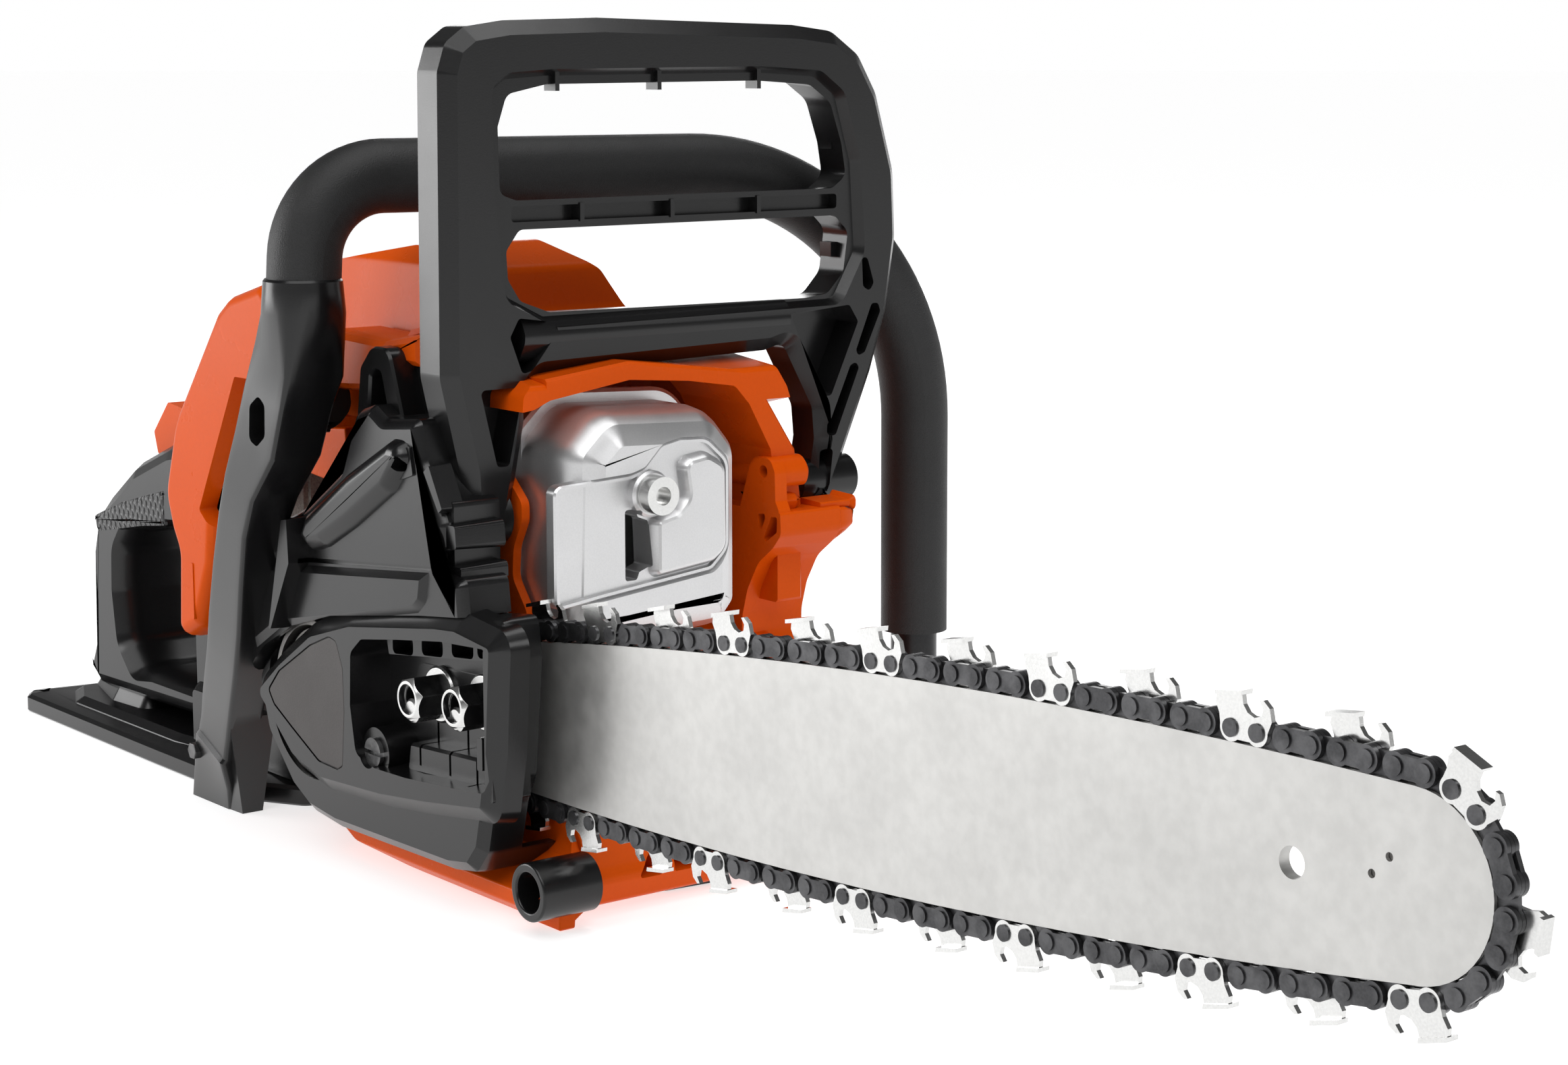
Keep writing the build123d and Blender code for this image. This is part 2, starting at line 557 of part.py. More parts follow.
def connecting_rod():
    """Rod between the piston pin and the crankpin, drawn at top dead centre."""
    top = PISTON_TOP - 16
    low = AXIS_Z + STROKE / 2
    rod = block(CYLINDER_X - 3, CYLINDER_X + 3, ENGINE_Y - 4, ENGINE_Y + 4, low + 6, top - 4)
    rod += rod_y(CYLINDER_X, top, 6.5, ENGINE_Y - 5, ENGINE_Y + 5)
    rod += rod_y(CYLINDER_X, low, 9, ENGINE_Y - 5, ENGINE_Y + 5)
    rod -= rod_y(CYLINDER_X, top, 4.0, 0, 100) + rod_y(CYLINDER_X, low, 5.0 + RUN_GAP, 0, 100)
    return rod


def on_cylinder(radius, z0, z1):
    """A rod on the cylinder's own axis, from one height to another above its head."""
    return rod_z(CYLINDER_X, ENGINE_Y, radius, HEAD_Z + z0, HEAD_Z + z1)


def spark_plug():
    hexagon = extrude(Plane.XY.offset(HEAD_Z + 5) * Pos(CYLINDER_X, ENGINE_Y) * RegularPolygon(8.5, 6), 8)
    body = on_cylinder(5.0, -11, 0) + on_cylinder(8.5, 0, 5) + hexagon
    return body + on_cylinder(4.8, 13, 26) + on_cylinder(2.2, 26, 31)


def plug_cap():
    lead = rod_x(ENGINE_Y, HEAD_Z + 29, 6, CYLINDER_X - 26, CYLINDER_X)
    return on_cylinder(8, 14, 36) + lead - on_cylinder(4.8, 10, 26) - on_cylinder(2.2, 20, 31)


# ---------------------------------------------------------------- muffler

MUFFLER_FACE = [(13, 94), (19, 88), (73, 86), (80, 92), (81, 138), (79, 150), (73, 157), (19, 160),
                (13, 152), (11, 120)]


def muffler():
    """Two pressed shells meeting at a flange, with a raised front panel and the long fixing bolt."""
    back = front(MUFFLER_FACE, 62, 78, 4)
    back = fillet(back.faces().sort_by(Axis.X)[0].edges(), 3)
    inner_back = front(MUFFLER_FACE, 63.5, 79, 4, -1.5)
    back = (back + front(MUFFLER_FACE, 76.6, 78, 4, 2.4)) - inner_back
    lid = front(MUFFLER_FACE, 78, 112, 4)
    lid = fillet(lid.faces().sort_by(Axis.X)[-1].edges(), 7)
    inner_lid = front(MUFFLER_FACE, 77, 110.4, 4, -1.5)
    inner_lid = fillet(inner_lid.faces().sort_by(Axis.X)[-1].edges(), 6)
    lid = (lid + front(MUFFLER_FACE, 78, 79.4, 4, 2.4)) - inner_lid
    panel = [(20, 98), (66, 104), (72, 111), (72, 142), (64, 150), (47, 150), (40, 146), (32, 141), (16, 139)]
    lid += front(panel, 111, 113.4, 3)
    y, z = MUFFLER_BOLT
    clearance = rod_x(y, z, 3.1, 50, 140)
    port = rod_x(ENGINE_Y, 119, 9, 50, 70)
    outlet = block(108, 130, 31, 38, 107, 126)
    bolt = rod_x(y, z, 3.0, 46, 113.4) + rod_x(y, z, 6.2, 113.4, 119) - rod_x(y, z, 3.0, 115.5, 122)
    return {
        "muffler_back_shell": [back - port - clearance],
        "muffler_front_shell": [lid - outlet - clearance],
        "muffler_bolts": [bolt],
    }


# ---------------------------------------------------------------- intake side

def intake():
    """Rubber boot, carburettor and filter, in line behind the cylinder."""
    y, z = ENGINE_Y, 115
    x0 = CYLINDER_X - 32
    boot = rod_x(y, z, 13, x0 - 5, x0) + rod_x(y, z, 11, x0 - 14, x0 - 5)
    boot += rod_x(y, z, 13, x0 - 18, x0 - 14)
    boot -= rod_x(y, z, 7, x0 - 20, x0 + 2)
    x1 = x0 - 18
    carb = block(x1 - 32, x1, y - 19, y + 19, z - 17, z + 17, 2)
    carb -= rod_x(y, z, 8, x1 - 40, x1 + 1)
    carb -= rod_y(x1 - 18, z, 3.0 + RUN_GAP, y - 22, y + 30)
    carb += rod_z(x1 - 16, y, 12, z + 16, z + 21)
    x2 = x1 - 32
    pleats = [(x2 - 26, z - 24), (x2 - 2, z - 24), (x2 - 2, z + 34), (x2 - 20, z + 30)]
    filt = side(pleats, y - 28, y + 26, 4)
    filt += block(x2 - 3, x2, y - 26, y + 24, z - 20, z + 20)
    filt -= rod_x(y, z, 8, x2 - 12, x2 + 2)
    throttle = rod_y(x1 - 18, z, 3.0, y - 24, y + 24)
    throttle += rod_x(y, z, 7.4, x1 - 18.7, x1 - 17.3)
    throttle += block(x1 - 20, x1 - 16, y + 21, y + 23.5, z, z + 12)
    return {
        "intake_boot": [boot],
        "carburettor": [carb],
        "air_filter": [filt],
        "throttle_valve": [throttle],
    }


def top_cover():
    """Engine cover: a peaked shell over the cylinder with an arched front lip round the muffler."""
    outline = [(-52, 150), (-50, 176), (-36, 197), (-28, 204), (36, 208), (48, 200), (57, 170), (92, 165),
               (92, 158), (60, 158), (40, 150)]
    body = side(outline, 2, 116, 2.5)
    roof = [(0, 140), (3, 166), (12, 178), (24, 207), (34, 212), (66, 212), (84, 200), (108, 164), (118, 140)]
    body &= front(roof, -60, 100, 5)
    room = side(outline, 5, 113, 0, -2.6)
    ceiling = [(2, 130), (6, 166), (15, 176), (27, 204), (35, 208), (65, 208), (81, 198), (105, 162),
               (115, 130)]
    body -= room & front(ceiling, -62, 102, 5)
    body -= block(-60, 100, 5, 113, 130, 158)
    body -= front([(13, 140), (15, 162), (40, 164), (80, 163), (98, 157), (104, 140)], 60, 100, 3)
    return largest(body - block(62, 100, -5, 12, 100, 200))


def rear_cover():
    """Filter cover at the back, reaching down to the rear handle."""
    outline = [(-52, 150), (-50, 176), (-60, 190), (-88, 192), (-118, 172), (-138, 128), (-146, 104),
               (-136, 70), (-138, 40), (-126, 36), (-112, 60), (-96, 84), (-84, 150)]
    body = side(outline, 0, 92, 4)
    body = chamfer(body.faces().sort_by(Axis.Y)[0].edges(), 3)
    return body - side(outline, 3, 90, 0, -2.6)


def starter_cover():
    """Left housing over the flywheel and the starter, with cooling slots."""
    outline = [(-56, 42), (-36, 20), (40, 20), (54, 40), (54, 124), (42, 142), (-30, 142), (-56, 112)]
    body = side(outline, 92, STARTER_Y, 10)
    body = chamfer(body.faces().sort_by(Axis.Y)[-1].edges(), 5)
    room = side(outline, 90, STARTER_Y - 3.5, 10, -3)
    body -= room
    post = rod_y(AXIS_X, AXIS_Z, 6.0, 112, STARTER_Y - 2)
    for k in range(7):
        z = 46 + 9 * k
        body -= block(-46, -24, 118, 140, z, z + 4)
        body -= block(28, 46, 118, 140, z, z + 4)
    for k in range(3):
        z = 100 + 9 * k
        body -= block(-14, 18, 118, 140, z, z + 4)
    for screw in starter_screws():
        body -= screw
    return body + post


def starter_screws():
    places = ((-46, 52), (-42, 112), (45, 44), (45, 126))
    return [rod_y(x, z, 4.0, STARTER_Y - 6, STARTER_Y + 2) for x, z in places]


def starter():
    """Rope reel with its spring and rope, and the pull grip on the cover."""
    reel = rod_y(AXIS_X, AXIS_Z, 24, 110.5, 112.5) + rod_y(AXIS_X, AXIS_Z, 24, 119, 121)
    reel += rod_y(AXIS_X, AXIS_Z, 16, 112, 120)
    reel -= rod_y(AXIS_X, AXIS_Z, 6.0 + RUN_GAP, 100, 130)
    rope = rod_y(AXIS_X, AXIS_Z, 23, 112.8, 118.7) - rod_y(AXIS_X, AXIS_Z, 16.2, 100, 130)
    spring = rod_y(AXIS_X, AXIS_Z, 20, 121.4, 123.6) - rod_y(AXIS_X, AXIS_Z, 8, 100, 130)
    gx, gy, gz = GRIP_AT
    grip = fillet(block(gx - 22, gx + 22, gy - 7, gy + 7, gz, gz + 15).edges(), 4.5)
    return {
        "starter_reel": [reel],
        "starter_rope": [rope],
        "recoil_spring": [spring],
        "starter_grip": [grip],
    }


# ---------------------------------------------------------------- handles and frame

def rear_handle():
    """Fuel tank, D-handle and foot plate in one moulding, with the finger opening left free."""
    y0, y1 = HANDLE_Y
    loop_outline = [(-92, 26), (-240, 18), (-251, 24), (-246, 60), (-247, 82), (-234, 101), (-200, 119),
                    (-160, 132), (-110, 134), (-110, 86), (-92, 82)]
    loop = side(loop_outline, y0, y1, 7)
    loop = fillet(loop.faces().sort_by(Axis.Y)[0].edges(), 5)
    loop = fillet(loop.faces().sort_by(Axis.Y)[-1].edges(), 5)
    finger_room = [(-150, 24), (-222, 22), (-226, 50), (-226, 68), (-206, 82), (-150, 90)]
    loop -= side(finger_room, y0 - 1, y1 + 1, 9)
    foot = plan([(-278, 0), (-150, -5), (-84, -6), (-60, 8), (-60, 84), (-110, 88), (-278, 62)], 0, 7, 6)
    foot = chamfer(foot.faces().sort_by(Axis.Z)[-1].edges(), 2)
    tank = block(-148, -50, 6, 88, 5, 34, 6)
    body = loop + foot + tank + block(-142, -60, 14, 86, 30, 88, 5)
    body -= block(-136, -60, 18, 80, 10, 60, 4)
    body -= rod_y(*FUEL_CAP, 12 + RUN_GAP, 76, 100)
    body -= side([(-180, 70), (-146, 70), (-146, 114), (-172, 114)], 26.4, 37.6)
    body -= side([(-214, 104), (-176, 108), (-176, 140), (-214, 140)], 25.4, 38.6)
    body += rod_y(*TRIGGER_PIVOT, 2.0, 26, 38) + rod_y(*LOCKOUT_PIVOT, 1.5, 25, 39)
    return body + rod_y(*SWITCH_PIVOT, 1.5, 49, 56) - handle_tube()


def choke_knob():
    """Pull knob on a rod."""
    return rod_x(70, 108, 3.0, -170, -128) + fillet(rod_x(70, 108, 8, -176, -164).edges(), 2)


def stop_switch():
    """Rocker on the left of the handle's root."""
    x, z = SWITCH_PIVOT
    body = side([(x - 7, z - 3), (x + 7, z - 3), (x + 8, z + 5), (x, z + 8), (x - 8, z + 5)], 50.4, 57, 1.5)
    return body - rod_y(x, z, 1.5 + RUN_GAP, 40, 60)


def strut():
    """Leaning upright that carries the right end of the front handle, from the foot to the tube's socket."""
    rear_edge = [(12, 216), (7, 180), (-2, 165), (-19, 133), (-33, 113), (-45, 91), (-61, 62), (-88, 28),
                 (-104, 0)]
    front_edge = [(-74, 0), (-61, 28), (-40, 58), (-24, 80), (-10, 113), (0, 125), (18, 145), (26, 165),
                  (33, 200)]
    lean = [(-44, 216), (-44, 146), (-39, 106), (-30, 62), (-22, 28), (-16, 0)]
    side_on = side(front_edge + rear_edge, -50, 10, 2)
    blade = side_on & front(lean[:4] + [(-28.8, 60), (-28.8, 216)], -120, 60)
    leg = side_on & front(lean[1:] + [(-6.6, 0), (-6.6, 28), (-20, 70), (-28.8, 110)], -120, -43.5)
    socket = rod_z(19.5, -32.5, 13, 176, 200)
    body = blade + leg + socket - rod_y(1, 152, 4.5, -60, 0)
    return largest(body - tube(HANDLE_ROUTE, HANDLE_BENDS, GRIP_R))


HANDLE_ROUTE = [(18.5, -33, 180), (21, -31, 233), (60, 196, 233), (60, 197, 30), (40, 170, 11),
                (-78, 82, 11)]
HANDLE_BENDS = [27, 92, 16, 16]


def handle_tube():
    """Steel tube over the top and down the left side."""
    return tube(HANDLE_ROUTE, HANDLE_BENDS, TUBE_R)


def guard():
    """Hand guard: frame with two windows, legs down to the pivot and a cross member."""
    outer = [(-22, 119), (0, 119), (2, 164), (14, 176), (126, 181), (135, 120), (147, 120), (162, 185),
             (166, 212), (154, 262), (137, 279), (110, 284), (68, 285), (-8, 281), (-19, 270), (-23, 186)]
    frame = front(outer, -8, 10, 3.5)
    frame = chamfer(frame.faces().sort_by(Axis.X)[-1].edges(), 2)
    upper = [(6, 226), (139, 230), (141, 240), (134, 262), (126, 265), (7, 264)]
    lower = [(8, 218), (139, 222), (141, 210), (135, 190), (24, 186), (12, 196)]
    frame -= front(upper, -20, 30, 5)
    frame -= front(lower, -20, 30, 4)
    frame += rod_y(-4, 181, 6.0, 6, 130)
    frame += rod_y(0, 126, 9.0, -22, 2) + rod_y(0, 126, 8.0, 135, 147)
    frame -= rod_y(0, 126, 4.0 + RUN_GAP, -40, 160)
    return Pos(GUARD_PIVOT[0], 0, 0) * frame


def guard_pins():
    """The two short pins that the guard turns on."""
    x, z = GUARD_PIVOT
    return [rod_y(x, z, 4.0, -23, 8), rod_y(x, z, 4.0, 104, 149)]


def trigger():
    x, z = TRIGGER_PIVOT
    blade = [(x - 4, z + 4), (x + 4, z + 4), (x + 2, z - 14), (x - 10, z - 30), (x - 15, z - 29),
             (x - 9, z - 12)]
    return side(blade, 27, 37, 2) - rod_y(x, z, 2.0 + RUN_GAP, 20, 50)


def lockout():
    """Interlock lever let into the top of the handle."""
    x, z = LOCKOUT_PIVOT
    body = side([(-206, 113), (-180, 120), (-178, 133), (-196, 135), (-209, 122)], 26, 38, 1.5)
    return body - rod_y(x, z, 1.5 + RUN_GAP, 20, 50)


def handle_rubber():
    """Rubber sleeve over the part of the tube that is held."""
    sleeve = tube(HANDLE_ROUTE[:4], HANDLE_BENDS[:2], GRIP_R)
    core = tube(HANDLE_ROUTE[:4], HANDLE_BENDS[:2], TUBE_R)
    return (sleeve - core) - block(-40, 120, -80, 260, -10, 62) - block(-60, 60, -80, -12, 100, 200.3)


def spring(x, y, z, radius, wire, length, turns):
    """Round-wire coil spring along X."""
    path = Helix(length / turns, length, radius)
    coil = sweep(Plane(origin=path @ 0, z_dir=path % 0) * Circle(wire), path=path)
    return Pos(x, y, z) * Rot(0, 90, 0) * coil


def av_mounts():
    """Coil springs and rubber buffers between the engine and the handle frame."""
    coils = [spring(-30, -11, 156, 9, 1.4, 26, 6), spring(-86, 98, 76, 9, 1.4, 20, 5)]
    rubber = [rod_x(-11, 156, 6.5, -34, 0), rod_x(98, 76, 6.5, -90, -64)]
    return {"av_springs": coils, "av_buffers": rubber}


def cap(x, z, radius, y0, y1):
    """Screw cap with a raised grip bar."""
    body = rod_y(x, z, radius, y0, y1)
    body += rod_y(x, z, radius + 3, y1, y1 + 5)
    body += block(x - radius, x + radius, y1 + 5, y1 + 10, z - 2, z + 2)
    return body


def small_parts():
    return {
        "starter_screws": starter_screws(),
        "rubber_foot": [block(84, 104, 44, 66, 0, 1.5, 0.5)],
    }


def assemble():
    """Every node of the saw with its solids, in the drawing's own frame."""
    adjuster, screw = tensioner()
    nodes = {
        "engine_housing": [engine_housing()],
        "starter_cover": [starter_cover()],
        "top_cover": [top_cover()],
        "rear_cover": [rear_cover()],
        "cylinder": [cylinder()],
        "piston": [piston()],
        "connecting_rod": [connecting_rod()],
        "crankshaft": [crankshaft()],
        "crank_bearings": bearings(),
        "flywheel": [flywheel()],
        "oil_pump": [oil_pump()],
        "spark_plug": [spark_plug()],
        "plug_cap": [plug_cap()],
        "rear_handle": [rear_handle()],
        "handle_strut": [strut()],
        "front_handle": [handle_tube()],
        "front_grip": [handle_rubber()],
        "hand_guard": [guard()],
        "guard_pins": guard_pins(),
        "throttle_trigger": [trigger()],
        "throttle_lockout": [lockout()],
        "choke_knob": [choke_knob()],
        "stop_switch": [stop_switch()],
        "oil_cap": [cap(*OIL_CAP, 13, 104, 112)],
        "fuel_cap": [cap(*FUEL_CAP, 12, 80, 92.4)],
        "clutch_cover": [clutch_cover()],
        "cover_panel": [panel_solid()],
        "brake_housing": [brake_housing()],
        "brake_band": [brake_band()],
        "bar_studs": bar_studs(),
        "bar_nuts": bar_nuts(),
        "tension_adjuster": [adjuster],
        "tension_screw": [screw],
        "tension_pin": [tension_pin()],
        "chain_catcher": [chain_catcher()],
        "nose_sprocket": [nose_sprocket()],
    }
    frame = nodes["rear_handle"][0]
    groups = (guide_bar, clutch_parts, chain, muffler, intake, starter, av_mounts, small_parts)
    for group in groups:
        nodes.update(group())
    rod_hole = rod_x(70, 108, 3.0 + RUN_GAP, -160, -100)
    cap_hole = rod_y(*FUEL_CAP, 12.4, 60, 100)
    cut = nodes["rear_cover"][0] - frame - nodes["air_filter"][0] - rod_hole - cap_hole
    nodes["rear_cover"] = [largest(cut)]
    return nodes


def main():
    os.makedirs("parts", exist_ok=True)
    nodes = assemble()
    boxes = [solid.bounding_box() for solids in nodes.values() for solid in solids]
    low = [min(getattr(b.min, axis) for b in boxes) for axis in "XYZ"]
    high = [max(getattr(b.max, axis) for b in boxes) for axis in "XYZ"]
    origin = Vector((low[0] + high[0]) / 2, (low[1] + high[1]) / 2, low[2])
    shift = Location(-origin)
    print("drawing origin sits at", [round(v, 4) for v in tuple(-origin)], "of the saw's frame")
    for name, solids in nodes.items():
        export_step(Compound([shift * solid for solid in solids]), f"parts/{name}.step")


if __name__ == "__main__":
    main()
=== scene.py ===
"""The chain saw's looks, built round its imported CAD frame.

Lengths are in millimetres in the drawing frame: its origin is on the ground under the drive end of the bar,
+X runs to the nose, +Y to the saw's left and +Z up. at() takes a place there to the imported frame, in metres.
Outlines are lists of corners, each with its own rounding as a third number where it has one."""

import json
import math

import bmesh
import bpy
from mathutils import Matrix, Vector


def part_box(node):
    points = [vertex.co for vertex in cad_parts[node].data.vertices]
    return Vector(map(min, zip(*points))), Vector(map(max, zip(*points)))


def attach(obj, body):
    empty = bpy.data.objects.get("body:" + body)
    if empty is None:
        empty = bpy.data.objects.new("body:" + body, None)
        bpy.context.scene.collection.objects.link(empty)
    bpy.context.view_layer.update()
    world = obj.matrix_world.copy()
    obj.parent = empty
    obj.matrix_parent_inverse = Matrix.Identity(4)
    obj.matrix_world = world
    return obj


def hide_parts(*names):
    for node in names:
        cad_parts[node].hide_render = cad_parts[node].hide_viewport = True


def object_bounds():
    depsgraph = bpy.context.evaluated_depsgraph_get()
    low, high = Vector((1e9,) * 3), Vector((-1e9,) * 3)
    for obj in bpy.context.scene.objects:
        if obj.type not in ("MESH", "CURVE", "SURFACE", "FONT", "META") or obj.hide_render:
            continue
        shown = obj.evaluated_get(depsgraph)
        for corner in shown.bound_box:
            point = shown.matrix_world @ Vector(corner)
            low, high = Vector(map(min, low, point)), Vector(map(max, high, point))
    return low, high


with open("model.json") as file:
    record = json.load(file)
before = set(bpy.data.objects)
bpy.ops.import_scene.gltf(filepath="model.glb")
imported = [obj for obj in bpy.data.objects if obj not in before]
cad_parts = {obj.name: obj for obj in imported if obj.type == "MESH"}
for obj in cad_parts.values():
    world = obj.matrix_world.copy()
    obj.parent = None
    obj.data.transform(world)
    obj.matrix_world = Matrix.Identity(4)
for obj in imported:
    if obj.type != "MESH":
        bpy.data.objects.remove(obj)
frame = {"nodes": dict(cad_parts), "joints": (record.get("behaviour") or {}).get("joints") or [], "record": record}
cad_low, cad_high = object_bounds()
nodes = frame["nodes"]

# ---------------------------------------------------------------- frame
AXIS_X = 2.2                              # crankshaft ahead of the drawing's origin
CRANK = (AXIS_X, 57)                      # crankshaft, X and Z
CYLINDER = (AXIS_X, 50)                   # cylinder's axis, X and Y
PIVOT = (79, 126)                         # hand guard's hinge, X and Z
NUTS = ((69.4, 67.8), (96.2, 69.7))       # bar studs, X and Z
ADJUSTER = (45.4, 45.6)                   # chain tensioner, X and Z
HANDLE_END = (19.3, -32.6)                # lower end of the front handle's tube, X and Y
PIN_HOLE_R = 4.05                         # hole for the guard's pins
joints = {j["name"]: j for j in frame["joints"]}
bar_low, bar_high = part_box("bar_plates")
SHIFT = Vector((joints["crank_spin"]["pos_m"][0] * 1000 - AXIS_X, (bar_low.y + bar_high.y) * 500, 0.0))


def at(x, y, z):
    return Vector(((x + SHIFT.x) / 1000, (y + SHIFT.y) / 1000, z / 1000))


# ---------------------------------------------------------------- camera, light and floor
camera = bpy.data.objects.new("camera", bpy.data.cameras.new("camera"))
bpy.context.scene.collection.objects.link(camera)
camera.location = at(872.0, -510.6, 275.8)
camera.rotation_euler = (math.radians(80.615), 0.0, math.radians(51.494))
camera.data.lens = 67.943
camera.data.sensor_width = 36.0
camera.data.clip_start = 0.05
camera.data.clip_end = 100.0
bpy.context.scene.camera = camera
bpy.context.scene.view_settings.view_transform = "Standard"


def area_light(name, place, aim, size, power):
    light = bpy.data.lights.new(name, "AREA")
    light.size = size
    light.energy = power
    obj = bpy.data.objects.new(name, light)
    bpy.context.scene.collection.objects.link(obj)
    obj.location = place
    obj.rotation_euler = (Vector(aim) - Vector(place)).to_track_quat("-Z", "Y").to_euler()


CENTRE = (cad_low + cad_high) / 2
area_light("side", (-1.55, -1.25, 0.42), CENTRE, 1.0, 17)
area_light("key", (0.7, -1.9, 1.9), CENTRE, 0.9, 9)
area_light("front", (2.2, 0.5, 1.5), CENTRE, 0.9, 9)
area_light("top", (-0.2, 0.6, 2.3), CENTRE, 1.2, 12)
area_light("rear", (-1.9, 1.6, 0.6), CENTRE, 1.0, 8)

sun = bpy.data.objects.new("sun", bpy.data.lights.new("sun", "SUN"))
sun.data.energy = 1.5
sun.data.angle = math.radians(60)
sun.rotation_euler = (math.radians(16), math.radians(20), 0.0)
bpy.context.scene.collection.objects.link(sun)

world = bpy.data.worlds.new("studio")
bpy.context.scene.world = world
world.use_nodes = True


def light_tent(tree):
    """White behind the saw; for lighting and reflections, pale at the horizon and grey overhead."""
    background = tree.nodes["Background"]
    places = tree.nodes.new("ShaderNodeTexCoord")
    split = tree.nodes.new("ShaderNodeSeparateXYZ")
    tree.links.new(places.outputs["Generated"], split.inputs["Vector"])
    shades = tree.nodes.new("ShaderNodeValToRGB")
    shades.color_ramp.elements[0].position = 0.0
    shades.color_ramp.elements[0].color = (0.50, 0.50, 0.50, 1.0)
    shades.color_ramp.elements[1].position = 0.40
    shades.color_ramp.elements[1].color = (0.10, 0.10, 0.10, 1.0)
    tree.links.new(split.outputs["Z"], shades.inputs["Fac"])
    seen = tree.nodes.new("ShaderNodeLightPath")
    pick = tree.nodes.new("ShaderNodeMix")
    pick.data_type = "RGBA"
    tree.links.new(seen.outputs["Is Camera Ray"], pick.inputs[0])
    tree.links.new(shades.outputs["Color"], pick.inputs[6])
    pick.inputs[7].default_value = (1.0, 1.0, 1.0, 1.0)
    tree.links.new(pick.outputs[2], background.inputs["Color"])
    background.inputs["Strength"].default_value = 1.0


light_tent(world.node_tree)


# ---------------------------------------------------------------- materials
def ramp(tree, source, stops):
    """A colour ramp from source, through (place, colour or grey) stops."""
    made = tree.nodes.new("ShaderNodeValToRGB")
    elements = made.color_ramp.elements
    while len(elements) < len(stops):
        elements.new(0.5)
    for element, (place, value) in zip(elements, stops):
        element.position = place
        colour = value if isinstance(value, tuple) else (value, value, value)
        element.color = (*colour, 1.0)
    tree.links.new(source, made.inputs["Fac"])
    return made.outputs["Color"]


def noise(tree, scale, detail=3.0):
    """A noise texture in object coordinates."""
    places = tree.nodes.new("ShaderNodeTexCoord")
    made = tree.nodes.new("ShaderNodeTexNoise")
    made.inputs["Scale"].default_value = scale
    made.inputs["Detail"].default_value = detail
    tree.links.new(places.outputs["Object"], made.inputs["Vector"])
    return made.outputs["Fac"]


def mixed(tree, share, first, second, blend="MIX"):
    made = tree.nodes.new("ShaderNodeMix")
    made.data_type = "RGBA"
    made.blend_type = blend
    for key, value in (("Factor", share), ("A", first), ("B", second)):
        socket = [s for s in made.inputs if s.name == key and s.enabled][0]
        if isinstance(value, (int, float)):
            socket.default_value = value
        elif isinstance(value, tuple):
            socket.default_value = (*value, 1.0)
        else:
            tree.links.new(value, socket)
    return [s for s in made.outputs if s.enabled][0]


BUMP_DEPTH = 0.0004                       # metres


def finish_of(name, colour, rough, metal=0.0, speckle=0.10, grain=900.0, bump=0.05, blotch=14.0,
              rough_spread=0.08, wear=0.0, wear_colour=None, specular=0.5, dark=0.75):
    """A procedural finish: base colour with fine speckle and broad blotches, uneven gloss, a fine surface
    grain and pale wear along the edges."""
    made = bpy.data.materials.new(name)
    made.use_nodes = True
    tree = made.node_tree
    shader = tree.nodes["Principled BSDF"]
    shader.inputs["Metallic"].default_value = metal
    shader.inputs["Specular IOR Level"].default_value = specular
    broad = noise(tree, blotch, 4.0)
    fine = noise(tree, grain)
    deep = tuple(c * dark for c in colour)
    toned = ramp(tree, broad, [(0.30, deep), (0.62, colour)])
    grainy = mixed(tree, 1.0, toned, ramp(tree, fine, [(0.35, 1.0 - speckle), (0.65, 1.0)]), "MULTIPLY")
    if wear > 0.0:
        edges = tree.nodes.new("ShaderNodeNewGeometry")
        rub = ramp(tree, edges.outputs["Pointiness"], [(0.515, 0.0), (0.56, wear)])
        patches = ramp(tree, noise(tree, 160.0, 4.0), [(0.40, 0.0), (0.62, 1.0)])
        broken = mixed(tree, 1.0, rub, patches, "MULTIPLY")
        grainy = mixed(tree, broken, grainy, wear_colour or tuple(min(1.0, c * 2.2 + 0.05) for c in colour))
    tree.links.new(grainy, shader.inputs["Base Color"])
    tree.links.new(ramp(tree, noise(tree, blotch * 3.0, 5.0),
                        [(0.3, max(0.02, rough - rough_spread)), (0.7, rough + rough_spread)]),
                   shader.inputs["Roughness"])
    bumps = tree.nodes.new("ShaderNodeBump")
    bumps.inputs["Strength"].default_value = bump
    bumps.inputs["Distance"].default_value = BUMP_DEPTH
    tree.links.new(fine, bumps.inputs["Height"])
    tree.links.new(bumps.outputs["Normal"], shader.inputs["Normal"])
    return made


